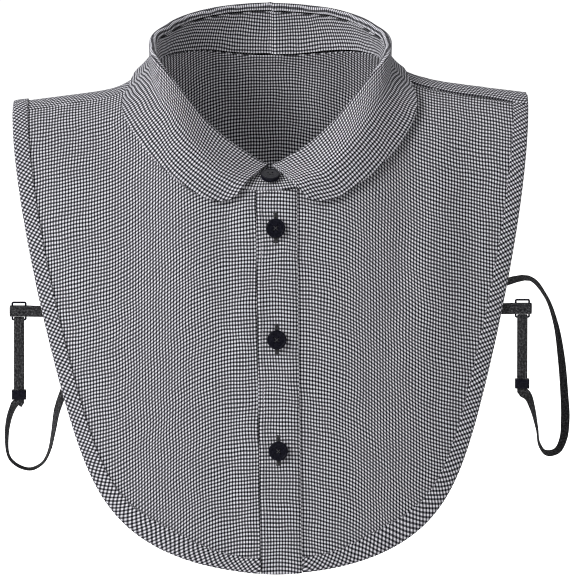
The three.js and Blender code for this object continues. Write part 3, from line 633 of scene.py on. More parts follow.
def new_object(name, mesh, material):
    mesh.materials.clear()
    mesh.materials.append(material)
    piece = bpy.data.objects.new(name, mesh)
    bpy.context.scene.collection.objects.link(piece)
    return piece


def smooth(mesh, sharp):
    """Smooth shading, but for edges over an angle in degrees."""
    mesh.shade_smooth()
    mesh.set_sharp_from_angle(angle=math.radians(sharp))


def joined(name, parts):
    """One mesh from several pairs of points and faces."""
    points, faces = [], []
    for more_points, more_faces in parts:
        start = len(points)
        points.extend(more_points)
        faces.extend([start + k for k in face] for face in more_faces)
    mesh = bpy.data.meshes.new(name)
    mesh.from_pydata(points, [], faces)
    return mesh


def bevelled_plate(name, loops, thickness, bevel, rounding, centre):
    """A flat plate with round edges from loops of x and y; the loops inside another are holes."""
    curve = bpy.data.curves.new(name, "CURVE")
    curve.dimensions = "2D"
    curve.fill_mode = "BOTH"
    curve.extrude = thickness / 2 - bevel
    curve.bevel_depth = bevel
    curve.bevel_resolution = rounding
    for loop in loops:
        spline = curve.splines.new("POLY")
        spline.points.add(len(loop) - 1)
        for point, (x, y) in zip(spline.points, loop):
            point.co = (x, y, 0, 1)
        spline.use_cyclic_u = True
    holder = bpy.data.objects.new(name, curve)
    bpy.context.scene.collection.objects.link(holder)
    depsgraph = bpy.context.evaluated_depsgraph_get()
    mesh = bpy.data.meshes.new_from_object(holder.evaluated_get(depsgraph))
    bpy.data.objects.remove(holder)
    mesh.transform(Matrix.Translation(centre))
    return mesh


def mesh_from(name, points, faces, uvs=None, sharp=50):
    """A closed mesh with faces that point outwards; uvs hold one pair for each point."""
    points = np.asarray(points, float)
    faces = np.asarray(faces, int)
    corners = points[faces]
    volume = np.einsum("ij,ij->", corners[:, 0], np.cross(corners[:, 1], corners[:, 2]))
    volume += np.einsum("ij,ij->", corners[:, 0], np.cross(corners[:, 2], corners[:, 3]))
    if volume < 0:
        faces = faces[:, ::-1]
    mesh = bpy.data.meshes.new(name)
    mesh.from_pydata(points.tolist(), [], faces.tolist())
    if uvs is not None:
        layer = mesh.uv_layers.new(name="cut")
        layer.data.foreach_set("uv", np.asarray(uvs, float)[faces.ravel()].ravel())
    smooth(mesh, sharp)
    mesh.update()
    return mesh


def shell_mesh(name, outer, inner, uv):
    """A closed wall between two grids of points, with the flat cut as its UV map in millimetres."""
    rows, columns = outer.shape[:2]
    count = rows * columns
    points = np.concatenate([outer.reshape(-1, 3), inner.reshape(-1, 3)])
    ids = np.arange(count).reshape(rows, columns)
    a, b, c, d = ids[:-1, :-1], ids[1:, :-1], ids[1:, 1:], ids[:-1, 1:]
    top = np.stack([a, b, c, d], axis=-1).reshape(-1, 4)
    under = np.stack([a, d, c, b], axis=-1).reshape(-1, 4) + count
    rim = np.concatenate([ids[:, 0], ids[-1, 1:], ids[-2::-1, -1], ids[0, -2:0:-1]])
    nxt = np.roll(rim, -1)
    band = np.stack([nxt, rim, rim + count, nxt + count], axis=-1)
    flat = uv.reshape(-1, 2) * millimetres
    faces = np.concatenate([top, under, band])
    return mesh_from(name, points, faces, np.concatenate([flat, flat]))


def flat_area(uv):
    a, b, c, d = uv[:-1, :-1], uv[1:, :-1], uv[1:, 1:], uv[:-1, 1:]
    first, second = c - a, d - b
    double = first[..., 0] * second[..., 1] - first[..., 1] * second[..., 0]
    return float(np.abs(double).sum() / 2)


def settle(piece, nodes, slot):
    """Ties a finished piece to the part's body and hides the solids it stands for."""
    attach(piece, "root")
    if nodes:
        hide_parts(*nodes)


def add_solid(name, mesh, material, nodes, slot):
    settle(new_object(name, mesh, material), nodes, slot)


def cloth_piece(name, node, outer, inner, uv, cut, material,
                slot="checked_cloth"):
    """cut is the layout of the flat piece in metres; uv is the layout that the check follows."""
    piece = new_object(name, shell_mesh(name, outer, inner, uv), material)
    settle(piece, [node], slot)
    size = np.ptp(cut.reshape(-1, 2), axis=0)
    area = min(flat_area(cut), float(size[0] * size[1]))


# Materials


class Nodes:
    """Short calls for building a material's nodes."""

    def __init__(self, name):
        self.material = bpy.data.materials.new(name)
        self.material.use_nodes = True
        self.tree = self.material.node_tree
        self.shader = self.tree.nodes["Principled BSDF"]

    def new(self, kind, **settings):
        node = self.tree.nodes.new(kind)
        for key, value in settings.items():
            setattr(node, key, value)
        return node

    def link(self, source, target):
        self.tree.links.new(source, target)

    def feed(self, target, value):
        if isinstance(value, bpy.types.NodeSocket):
            self.link(value, target)
        else:
            target.default_value = value

    def math(self, operation, a, b=0.0, c=0.0):
        node = self.new("ShaderNodeMath", operation=operation)
        for socket, value in zip(node.inputs, (a, b, c)):
            self.feed(socket, value)
        return node.outputs[0]

    def step(self, value, low, high, to_low=0.0, to_high=1.0):
        node = self.new("ShaderNodeMapRange", interpolation_type="SMOOTHSTEP")
        for socket, v in zip(node.inputs, (value, low, high, to_low, to_high)):
            self.feed(socket, v)
        return node.outputs[0]

    def noise(self, vector, scale, detail=2.0):
        node = self.new("ShaderNodeTexNoise")
        self.link(vector, node.inputs["Vector"])
        node.inputs["Scale"].default_value = scale
        node.inputs["Detail"].default_value = detail
        return node.outputs["Fac"]

    def colours(self, share, a, b):
        node = self.new("ShaderNodeMix", data_type="RGBA")
        self.feed(node.inputs[0], share)
        self.feed(node.inputs[6], a)
        self.feed(node.inputs[7], b)
        return node.outputs[2]

    def bump(self, height, distance):
        node = self.new("ShaderNodeBump")
        node.inputs["Strength"].default_value = 1.0
        node.inputs["Distance"].default_value = distance
        self.link(height, node.inputs["Height"])
        self.link(node.outputs[0], self.shader.inputs["Normal"])

    def cut(self):
        """The flat cut of the cloth in millimetres, and its two numbers."""
        uv = self.new("ShaderNodeUVMap", uv_map="cut").outputs[0]
        parts = self.new("ShaderNodeSeparateXYZ")
        self.link(uv, parts.inputs[0])
        return uv, parts.outputs[0], parts.outputs[1]

    def place(self):
        return self.new("ShaderNodeTexCoord").outputs["Object"]

    def wave(self, value, period):
        return self.math("SINE", self.math("MULTIPLY", value, 2 * math.pi / period))

    def surface(self, values):
        for name, value in values.items():
            self.feed(self.shader.inputs[name], value)


def checked_cloth(name, look):
    """Fine gingham: dark and light stripes both ways, with the weave's threads in its relief."""
    n = Nodes(name)
    uv, across, down = n.cut()
    sway = look.wave * millimetres
    thread_across, thread_down = 0.34, 0.36

    def wandering(value, noise_scale, reach):
        noise = n.noise(uv, noise_scale, 1.0)
        return n.math("ADD", value, n.math("MULTIPLY", n.math("SUBTRACT", noise, 0.5), reach))

    def stripes(value, period):
        return n.step(n.wave(value, period * millimetres), -look.edge, look.edge)

    u, v = wandering(across, 0.035, sway), wandering(down, 0.05, 1.3 * sway)
    warp, weft = stripes(u, look.check_across), stripes(v, look.check_down)
    slub = n.noise(uv, 0.9, 3.0)
    light = n.colours(n.step(slub, 0.3, 0.7), tuple(look.light), tuple(look.light_shade))
    half = n.colours(n.math("MAXIMUM", warp, weft), tuple(look.dark), tuple(look.half))
    weave = n.math("MULTIPLY", n.wave(u, thread_across), n.wave(v, thread_down))
    n.bump(n.math("ADD", n.math("MULTIPLY", weave, 0.4), n.math("MULTIPLY", slub, 0.6)), 0.00006)
    n.surface({
        "Base Color": n.colours(n.math("MULTIPLY", warp, weft), half, light),
        "Roughness": 0.88,
        "Specular IOR Level": 0.04,
        "Sheen Weight": 0.03,
        "Sheen Roughness": 0.5,
    })
    return n.material


def moulded_black(name, colour, roughness):
    """Moulded plastic with faint flow marks."""
    n = Nodes(name)
    flow = n.noise(n.place(), 900.0, 4.0)
    lighter = tuple(min(1.0, c * 1.8 + 0.002) for c in colour[:3]) + (1.0,)
    n.bump(flow, 0.00002)
    n.surface({
        "Base Color": n.colours(n.step(flow, 0.4, 0.7), colour, lighter),
        "Roughness": n.step(flow, 0.3, 0.7, roughness - 0.06, roughness + 0.08),
        "Specular IOR Level": 0.06,
    })
    return n.material


def woven_elastic(name, colour, fleck):
    """Woven elastic: ribs along it, picks across it and a few lighter flecks."""
    n = Nodes(name)
    uv, across, along = n.cut()
    rib_width, pick_length = 0.9, 0.7
    ribs = n.wave(across, rib_width)
    weave = n.math("MULTIPLY", ribs, n.wave(along, pick_length))
    share = n.math("ADD", n.math("MULTIPLY", weave, 0.25), n.noise(uv, 0.8, 4.0))
    n.bump(n.math("ADD", ribs, n.math("MULTIPLY", weave, 0.5)), 0.0001)
    n.surface({
        "Base Color": n.colours(n.step(share, 0.45, 0.85), colour, fleck),
        "Roughness": 0.7,
        "Specular IOR Level": 0.06,
    })
    return n.material


def thread_material(name, colour):
    """Twisted sewing thread."""
    n = Nodes(name)
    twist = n.noise(n.place(), 2500.0, 2.0)
    darker = tuple(c * 0.7 for c in colour[:3]) + (1.0,)
    n.bump(twist, 0.00004)
    n.surface({"Base Color": n.colours(twist, colour, darker), "Roughness": 0.6})
    return n.material


def plain_stage(name, colour):
    """Matt pale board for the floor, a little brighter to the camera than to the lights."""
    n = Nodes(name)
    shade = tuple(c * 0.995 for c in colour[:3]) + (1.0,)
    seen = n.new("ShaderNodeLightPath").outputs["Is Camera Ray"]
    n.surface({
        "Base Color": n.colours(n.noise(n.place(), 3.0, 2.0), colour, shade),
        "Roughness": 0.9,
        "Specular IOR Level": 0.0,
        "Emission Color": (1, 1, 1, 1),
        "Emission Strength": n.math("MULTIPLY", seen, 0.6),
    })
    return n.material


# Rows of stitches, with Geometry Nodes


def stitch_tree():
    """Lays a short rounded stitch at every pitch along the edges of a mesh."""
    tree = bpy.data.node_groups.new("stitch_rows", "GeometryNodeTree")
    face = tree.interface
    face.new_socket("Geometry", in_out="INPUT", socket_type="NodeSocketGeometry")
    for label, default in (("Pitch", 0.0022), ("Stitch Length", 0.0016), ("Thread Width", 0.0004)):
        socket = face.new_socket(label, in_out="INPUT", socket_type="NodeSocketFloat")
        socket.default_value = default
    face.new_socket("Thread", in_out="INPUT", socket_type="NodeSocketMaterial")
    face.new_socket("Seed", in_out="INPUT", socket_type="NodeSocketInt").default_value = 7
    face.new_socket("Geometry", in_out="OUTPUT", socket_type="NodeSocketGeometry")
    new, link = tree.nodes.new, tree.links.new
    enter = new("NodeGroupInput")
    leave = new("NodeGroupOutput")
    curve = new("GeometryNodeMeshToCurve")
    link(enter.outputs["Geometry"], curve.inputs[0])
    even = new("GeometryNodeResampleCurve")
    even.mode = "LENGTH"
    link(curve.outputs[0], even.inputs["Curve"])
    link(enter.outputs["Pitch"], even.inputs["Length"])
    stitch = new("GeometryNodeMeshUVSphere")
    stitch.inputs["Segments"].default_value = 6
    stitch.inputs["Rings"].default_value = 4
    stitch.inputs["Radius"].default_value = 0.5
    turn = new("FunctionNodeAlignRotationToVector")
    turn.axis = "Z"
    link(new("GeometryNodeInputTangent").outputs[0], turn.inputs["Vector"])
    vary = new("FunctionNodeRandomValue")
    vary.data_type = "FLOAT"
    vary.inputs[2].default_value = 0.88
    vary.inputs[3].default_value = 1.06
    link(enter.outputs["Seed"], vary.inputs["Seed"])
    long = new("ShaderNodeMath")
    long.operation = "MULTIPLY"
    link(enter.outputs["Stitch Length"], long.inputs[0])
    link(vary.outputs[1], long.inputs[1])
    size = new("ShaderNodeCombineXYZ")
    link(enter.outputs["Thread Width"], size.inputs[0])
    link(enter.outputs["Thread Width"], size.inputs[1])
    link(long.outputs[0], size.inputs[2])
    place = new("GeometryNodeInstanceOnPoints")
    link(even.outputs[0], place.inputs["Points"])
    link(stitch.outputs["Mesh"], place.inputs["Instance"])
    link(turn.outputs[0], place.inputs["Rotation"])
    link(size.outputs[0], place.inputs["Scale"])
    real = new("GeometryNodeRealizeInstances")
    link(place.outputs[0], real.inputs[0])
    colour = new("GeometryNodeSetMaterial")
    link(real.outputs[0], colour.inputs["Geometry"])
    link(enter.outputs["Thread"], colour.inputs["Material"])
    link(colour.outputs[0], leave.inputs[0])
    return tree


def stitch_rows(name, lines, pitch, length, width, material, slot):
    """Sews every line of points in one piece."""
    points, edges = [], []
    for line in lines:
        start = len(points)
        points.extend(np.asarray(line).tolist())
        edges.extend((start + i, start + i + 1) for i in range(len(line) - 1))
    mesh = bpy.data.meshes.new(name + "_path")
    mesh.from_pydata(points, edges, [])
    path = bpy.data.objects.new(name + "_path", mesh)
    bpy.context.scene.collection.objects.link(path)
    tree = bpy.data.node_groups.get("stitch_rows") or stitch_tree()
    sew = path.modifiers.new("stitches", "NODES")
    sew.node_group = tree
    values = {"Pitch": pitch, "Stitch Length": length, "Thread Width": width}
    values.update({"Thread": material, "Seed": 7})
    for socket in tree.interface.items_tree:
        if socket.in_out == "INPUT" and socket.name in values:
            sew[socket.identifier] = values[socket.name]
    depsgraph = bpy.context.evaluated_depsgraph_get()
    made = bpy.data.meshes.new_from_object(path.evaluated_get(depsgraph))
    path.modifiers.clear()
    bpy.data.objects.remove(path)
    if len(made.polygons) == 0:
        raise RuntimeError(name + ": no stitches were made")
    made.name = name
    made.shade_smooth()
    piece = new_object(name, made, material)
    settle(piece, [], slot)
    return piece


# Panels


def neck_at_front(x):
    angle = neck_angle(lambda p: p[1] < 0 or p[0] > abs(x))
    return np.array([x, neck_flat(angle)[1] + stand_wall / 2])


def hem_along(x):
    opening = bisect(lambda t: trace_outline(1 - t, front_length, 1)[0] < abs(x), 0.0, 1.0)
    return trace_outline(1 - opening, front_length, 1)[1]


def panel_grid(neck_line, binding_line, edge_line):
    share = np.linspace(0, 1, panel_columns)[None, :, None]
    inner = mix(neck_line[:, None, :], binding_line[:, None, :], share)
    share = np.array(binding_columns)[None, :, None]
    bound = mix(binding_line[:, None, :], edge_line[:, None, :], share)
    return np.concatenate([inner, bound], axis=1)


def front_flat(side):
    """The flat layout of a front, from the shoulder seam to the opening."""
    opening_edge = opening_of(side)
    stations = outline_stations(opening_edge)
    binding_line, edge = inset(stations, binding_width), inset(stations, edge_inset)
    seam = forward_seam + seam_gap / 2
    seam_angle = neck_angle(lambda p: p[1] < seam)
    open_angle = neck_angle(lambda p: p[1] < 0 or p[0] > opening_edge)
    necks, bindings, edges = [], [], []
    for i in range(up_steps, -1, -1):
        neck = neck_edge(mix(open_angle, seam_angle, i / up_steps))
        trio = [neck, binding_line[i].copy(), edge[i].copy()]
        for p in trio:
            if i == up_steps:
                p[1] = seam
            if i == 0:
                p[0] = opening_edge
        if side < 0:
            neck[1] -= panel_reach * float(1 - smooth_step(0, lap_run, neck[0] - opening_edge))
        for group, p in zip((necks, bindings, edges), trio):
            group.append(p * (side, 1))
    if side > 0:
        start, end = placket_right - underlap_start, placket_left - underlap_beyond
        for x in np.linspace(start, end, underlap_columns):
            hem = hem_along(x)
            necks.append(neck_at_front(x))
            bindings.append(np.array([x, hem - binding_width]))
            edges.append(np.array([x, hem - edge_inset]))
    return panel_grid(np.array(necks), np.array(bindings), np.array(edges))


def back_flat():
    whole = outline_stations(placket_right)
    binding_line, edge = inset(whole, binding_width)[up_steps:], inset(whole, edge_inset)[up_steps:]
    seam = forward_seam - seam_gap / 2
    seam_angle = neck_angle(lambda p: p[1] < seam)
    count = len(edge) - 1
    necks = np.array([neck_edge(seam_angle * (1 - i / count)) for i in range(count + 1)])
    for group in (necks, binding_line, edge):
        group[0, 1] = seam
        group[-1, 0] = 0
    right = panel_grid(necks, binding_line, edge)
    left = right * (-1, 1)
    return np.concatenate([left[:-1], right[::-1]])


def panel_walls(flat, side):
    x, s = flat[..., 0], flat[..., 1]
    lift = np.where(s > 0, front_lift(x, side), 0)
    return drape(x, s, lift + cloth_wall / 2), drape(x, s, lift - cloth_wall / 2)


def placket_flat():
    columns = np.linspace(placket_left, placket_right, placket_columns)
    starts = np.array([neck_at_front(x)[1] + gap - placket_reach for x in columns])
    ends = np.array([hem_along(x) for x in columns])
    down = mix(starts, ends, np.linspace(0, 1, placket_rows)[:, None])
    return np.stack([np.broadcast_to(columns, down.shape), down], axis=-1)


def placket_walls(flat):
    x, s = flat[..., 0], flat[..., 1]
    aside = np.abs((x - placket_centre) / (placket_width / 2))
    outer = lap_lift + placket_wall / 2 * (1 - aside**placket_pillow_power)
    return drape(x, s, outer), drape(x, s, lap_lift - placket_wall / 2)


# Bindings


def binding_rows(side):
    """Outer points, inner points and distance round the tape for each station of the edge."""
    edge = outline_stations(opening_of(side))
    inner_height = cloth_wall / 2 + gap
    outer_height = inner_height + binding_wall
    leg = binding_width - outer_height
    rows_outer, rows_inner, around = [], [], []

    def place(distance, height):
        flat = inset(edge, distance)
        x = side * flat[:, 0]
        x[-1] = side * gap / 2
        lift = np.where(flat[:, 1] > 0, front_lift(x, side), 0)
        return drape(x, flat[:, 1], lift + height)

    legs = np.linspace(binding_width, outer_height, binding_leg_rows)
    for distance in legs:
        puff = binding_puff * math.sin(math.pi * (distance - outer_height) / leg)
        rows_outer.append(place(distance, outer_height + puff))
        rows_inner.append(place(distance, inner_height))
        around.append(binding_width - distance)
    for turn in np.linspace(0, math.pi, binding_turn_rows)[1:-1]:
        away = outer_height - outer_height * math.sin(turn)
        rows_outer.append(place(away, outer_height * math.cos(turn)))
        rows_inner.append(place(edge_inset - gap, inner_height * math.cos(turn)))
        around.append(leg + outer_height * turn)
    for distance in legs[::-1]:
        rows_outer.append(place(distance, -outer_height))
        rows_inner.append(place(distance, -inner_height))
        around.append(leg + outer_height * math.pi + distance - outer_height)
    outer, inner = np.stack(rows_outer, axis=1), np.stack(rows_inner, axis=1)
    along = lengths_along(outer[:, 0])
    cut = np.stack(np.broadcast_arrays(np.array(around)[None, :], along[:, None]), axis=-1)
    return outer, inner, cut


# Collar pieces


def stand_grid():
    overlap_angle = stand_overlap / neck_half_width
    start, end = -math.pi - overlap_angle, math.pi + overlap_angle * stand_underlap_share
    share = np.linspace(0, 1, stand_rows)[:, None]
    rows = []
    for angle in np.linspace(start, end, stand_stations + 1):
        _, seam, up, out, fold, fold_up, _ = neck_frame(float(angle))
        at_front = float(smooth_step(outer_lap_from, outer_lap_full, -angle))
        bottom = seam + up * (stand_above_seam - front_reach * at_front)
        top = fold - fold_up * (fall_inner_leg + stand_to_fall)
        rows.append(mix(bottom, top, share) + out * stand_bow * 4 * share * (1 - share))
    return np.array(rows)


def fall_grid():
    """The collar's grid of points and its flat layout, with its ends cut round."""
    end_angle = neck_angle(lambda p: p[1] < 0 or p[0] > fall_end_half_gap)
    seam_end_angle = neck_angle(lambda p: p[1] < 0 or p[0] > fall_seam_half_gap)
    half = fall_stations
    plain = []
    for side in (-1, 1):
        for i in range(half + 1):
            head, leaf = fall_line(i / half, side, end_angle, seam_end_angle)
            plain.append(head + [leaf(j / leaf_steps) for j in range(1, leaf_steps + 1)])
    plain = np.array(plain)
    first = len(plain[0]) - leaf_steps
    middle = first + leaf_steps // 2
    down_cut = np.array([lengths_along(row) for row in plain])
    rows, cut = [], []
    for i in range(-half, half + 1):
        base = 0 if i < 0 else half + 1
        side = -1 if i < 0 else 1
        out_cut = side * lengths_along(plain[base : base + half + 1, middle])
        share = abs(i) / half
        rounded = float(smooth_step(fall_round_from, fall_round_full, share))
        points, flat = [], []
        for j in range(first + leaf_steps):
            down = max(0, j - first + 1) / leaf_steps
            place = half * share * mix(1, leaf_reach(down), rounded)
            at = base + min(half - 1, int(place))
            rest = place - (at - base)
            points.append(mix(plain[at][j], plain[at + 1][j], rest))
            flat.append((
                mix(out_cut[at - base], out_cut[at - base + 1], rest),
                mix(down_cut[at][j], down_cut[at + 1][j], rest),
            ))
        rows.append(points)
        cut.append(flat)
    return np.array(rows), np.array(cut)


def grid_cut(grid, seam_column):
    """Flat layout of a grid: along its seam column, and down each row from that column."""
    along = lengths_along(grid[:, seam_column])
    down = np.stack([lengths_along(row) for row in grid])
    down = down - down[:, seam_column : seam_column + 1]
    return np.stack(np.broadcast_arrays(along[:, None], down), axis=-1)


# Buttons


def circle(radius, sides):
    turns = [2 * math.pi * i / sides for i in range(sides)]
    return [(radius * math.cos(turn), radius * math.sin(turn)) for turn in turns]


def button_mesh(name):
    """A flat four-hole button, its face towards +Z."""
    loops = [circle(button_radius - button_bevel, button_sides)]
    for across, up in ((1, 1), (-1, 1), (-1, -1), (1, -1)):
        hole = circle(hole_radius, 16)
        loops.append([(x + across * hole_offset, y + up * hole_offset) for x, y in hole])
    thickness = button_thickness - 2 * button_dish
    centre = (0, 0, button_thickness / 2 - button_dish)
    return bevelled_plate(name, loops, thickness, button_bevel, 3, centre)


def ring_mesh(name, radius, profile):
    """A closed ring round +Z from a closed profile of (out, up) pairs."""
    points = []
    for x, y in circle(1, button_sides):
        points.extend([(radius + out) * x, (radius + out) * y, up] for out, up in profile)
    size, faces = len(profile), []
    for i in range(button_sides):
        here, there = i * size, (i + 1) % button_sides * size
        for k in range(size):
            m = (k + 1) % size
            faces.append([here + k, there + k, there + m, here + m])
    return mesh_from(name, points, faces, sharp=40)


def tube(path, radius, sides, closed=False):
    """Points and faces of a round bar along a path, with its ends closed."""
    path = np.asarray(path, float)
    if closed:
        along = unit(np.roll(path, -1, axis=0) - np.roll(path, 1, axis=0))
    else:
        along = unit(np.gradient(path, axis=0))
    side = np.cross(along[0], (0.31, 0.83, 0.46))
    points = []
    for point, way in zip(path, along):
        side = unit(side - way * np.dot(side, way))
        other = np.cross(way, side)
        for k in range(sides):
            turn = 2 * math.pi * k / sides
            points.append(point + radius * (side * math.cos(turn) + other * math.sin(turn)))
    count = len(path)
    faces = []
    for i in range(count if closed else count - 1):
        for k in range(sides):
            j, m = (i + 1) % count, (k + 1) % sides
            faces.append([i * sides + k, j * sides + k, j * sides + m, i * sides + m])
    if not closed:
        for base, centre in ((0, path[0]), ((count - 1) * sides, path[-1])):
            hub = len(points)
            points.append(centre)
            for k in range(0, sides, 2):
                quad = [base + k, base + k + 1, base + (k + 2) % sides, hub]
                faces.append(quad if base == 0 else quad[::-1])
    return np.array(points), faces


# Straps


def catmull(knots, share):
    """Centripetal curve through knots, evenly counted from knot to knot."""
    count = len(knots)
    place = share * (count - 1)
    index = min(count - 2, int(place))
    weight = place - index
    p1, p2 = knots[index], knots[index + 1]
    p0 = knots[index - 1] if index > 0 else 2 * knots[0] - knots[1]
    p3 = knots[index + 2] if index + 2 < count else 2 * knots[-1] - knots[-2]
    pairs = ((p0, p1), (p1, p2), (p2, p3))
    d0, d1, d2 = (max(1e-6, np.linalg.norm(b - a)) ** 0.5 for a, b in pairs)
    t1 = ((p1 - p0) / d0 - (p2 - p0) / (d0 + d1) + (p2 - p1) / d1) * d1
    t2 = ((p2 - p1) / d1 - (p3 - p1) / (d1 + d2) + (p3 - p2) / d2) * d1
    c2 = -3 * p1 + 3 * p2 - 2 * t1 - t2
    c3 = 2 * p1 - 2 * p2 + t1 + t2
    return p1 + t1 * weight + c2 * weight**2 + c3 * weight**3


def half_turn(centre, radius, first, second, steps):
    turns = [math.pi * i / steps for i in range(steps + 1)]
    return [centre + first * radius * math.cos(t) + second * radius * math.sin(t) for t in turns]


def edge_half_width(z, length):
    down = (shoulder_height - z) / length
    return shoulder_half_width * (1 - side_taper * down**taper_power)


ahead = np.array([0.0, -1.0, 0.0])
behind = np.array([0.0, 1.0, 0.0])
upward = np.array([0.0, 0.0, 1.0])
across_x = np.array([1.0, 0.0, 0.0])
wrap_radius = ring_wire / 2 + gap + strap_wall / 2
ring_width = strap_width + 2 * gap + ring_play + ring_wire
behind_cloth = cloth_wall / 2 + gap + binding_wall + seam_slack + strap_wall / 2


def ring_centre(word):
    side, ring_across, ring_up, *_ = strap_places[word]
    return np.array([side * ring_across, strap_back, ring_up])


def elastic_route(word):
    side, _, _, slider_across, slider_up, seam_up = strap_places[word]
    bar = ring_centre(word) - upward * ring_height / 2
    slider_bottom = slider_up - slider_height / 2
    slider_x = side * slider_across
    points = [np.array([slider_x, strap_back + wrap_radius, slider_bottom + strap_end_above])]
    points += half_turn(bar, wrap_radius, behind, upward, 14)
    points.append(np.array([slider_x, strap_back - wrap_radius, slider_up]))
    points.append(np.array([slider_x, strap_back - wrap_radius, slider_bottom - strap_below_slider]))
    faces = [1.0] * len(points)

    def anchor(z, height):
        x = edge_half_width(z, back_length) - binding_width / 2
        return drape(side * x, along_from_height(x, z, -1), height)

    middle = seam_up + anchor_length / 2
    x = edge_half_width(middle, back_length) - binding_width / 2
    s = along_from_height(x, middle, -1)
    beside = side * x + np.array([-0.001, 0.001])
    seam_across = unit(form_point(beside[1], s) - form_point(beside[0], s))
    route = strap_routes[word]
    knots = [points[-1]] + [np.array(row[:3]) for row in route]
    knots += [
        anchor(seam_up - anchor_length, -behind_cloth - strap_off_seam),
        anchor(seam_up, -behind_cloth),
        anchor(seam_up + anchor_length, -behind_cloth),
    ]
    knot_faces = [1.0] + [row[3] for row in route] + [1.0, 1.0, 1.0]
    steps = knot_steps * (len(knots) - 1)
    first = len(points)
    for i in range(1, steps + 1):
        place = i / steps * (len(knots) - 1)
        index = min(len(knots) - 2, int(place))
        points.append(catmull(knots, i / steps))
        faces.append(mix(knot_faces[index], knot_faces[index + 1], place - index))
    points = np.array(points)
    tangents = unit(np.gradient(points, axis=0))
    widths = []
    for i, tangent in enumerate(tangents):
        deep = behind - tangent * np.dot(behind, tangent)
        if np.linalg.norm(deep) < 0.2 or i < first - 2:
            widths.append(across_x.copy())
            continue
        deep = unit(deep)
        flat = np.cross(tangent, deep)
        turn = faces[i] * math.pi / 2
        widths.append(deep * math.cos(turn) + flat * math.sin(turn))
    for i in range(seam_blend):
        widths[-1 - i] = mix(seam_across, widths[-1 - i], (i / seam_blend) ** 2)
    for i in range(1, len(widths)):
        if np.dot(widths[i], widths[i - 1]) < 0:
            widths[i] = -widths[i]
    widths = np.array(widths)
    kernel = np.array([1, 2, 3, 2, 1]) / 9
    for k in range(3):
        padded = np.pad(widths[first:, k], 2, mode="edge")
        widths[first:, k] = np.convolve(padded, kernel, mode="valid")
    return points, unit(widths)


def band_mesh(name, route, widths, width, wall):
    """A flat band along a route, with its UV map in millimetres across and along it."""
    across = np.linspace(-1, 1, 7)
    grid = route[:, None, :] + widths[:, None, :] * across[None, :, None] * width / 2
    outer, inner = thicken(grid, wall)
    slim = 1 - 0.35 * np.abs(across)[None, :, None] ** 6
    middle = (outer + inner) / 2
    outer, inner = middle + (outer - middle) * slim, middle + (inner - middle) * slim
    along = lengths_along(route)
    uv = np.stack(np.broadcast_arrays(across[None, :] * width / 2, along[:, None]), axis=-1)
    return shell_mesh(name, outer, inner, uv)


def tab_route(word):
    side, _, ring_up, *_ = strap_places[word]
    inner_bar = ring_centre(word) - across_x * side * ring_width / 2
    outer_bar = ring_centre(word) + across_x * side * ring_width / 2
    second = behind_cloth + strap_wall + gap
    edge = edge_half_width(ring_up, front_length)

    def behind_edge(distance, height):
        x = edge - distance
        return drape(side * x, along_from_height(x, ring_up, 1), -height)

    near = [behind_edge(d, behind_cloth) for d in tab_bends]
    far = [behind_edge(d, second) for d in tab_bends[::-1]]
    near.append(inner_bar + ahead * wrap_radius)
    far.insert(0, inner_bar + behind * wrap_radius)
    bend = half_turn(outer_bar, wrap_radius, ahead, across_x * side, 12)
    return np.array(near + bend + far)


def rounded_loop(centre, width, height, corner, steps=6):
    points = []
    for quarter in range(4):
        sign_x = 1 if quarter in (0, 3) else -1
        sign_z = 1 if quarter < 2 else -1
        for i in range(steps + 1):
            turn = (quarter + i / steps) * math.pi / 2
            points.append(
                centre
                + across_x * (sign_x * (width / 2 - corner) + corner * math.cos(turn))
                + upward * (sign_z * (height / 2 - corner) + corner * math.sin(turn))
            )
    return np.array(points)


# Sizes and colours that a user would change


class ShirtFrontLook(bpy.types.PropertyGroup):
    check_across: bpy.props.FloatProperty(
        name="Check across", description="Width of one repeat of the check", default=0.00172,
        unit="LENGTH", precision=5)
    check_down: bpy.props.FloatProperty(
        name="Check down", description="Height of one repeat of the check", default=0.00222,
        unit="LENGTH", precision=5)
    edge: bpy.props.FloatProperty(
        name="Check edge", description="Softness of the stripes' edges", default=0.35, min=0.01,
        max=1)
    wave: bpy.props.FloatProperty(
        name="Grain wave", description="How far the cloth's grain wanders", default=0.0024,
        unit="LENGTH", precision=5)
    light: bpy.props.FloatVectorProperty(
        name="Light thread", description="Colour of the light squares", subtype="COLOR", size=4,
        default=(0.55, 0.545, 0.58, 1.0))
    light_shade: bpy.props.FloatVectorProperty(
        name="Light thread shade", description="Second colour of the light squares",
        subtype="COLOR", size=4, default=(0.43, 0.425, 0.465, 1.0))
    half: bpy.props.FloatVectorProperty(
        name="Crossing", description="Colour where a dark and a light stripe cross",
        subtype="COLOR", size=4, default=(0.084, 0.083, 0.092, 1.0))
    dark: bpy.props.FloatVectorProperty(
        name="Dark thread", description="Colour of the dark squares", subtype="COLOR", size=4,
        default=(0.003, 0.003, 0.005, 1.0))


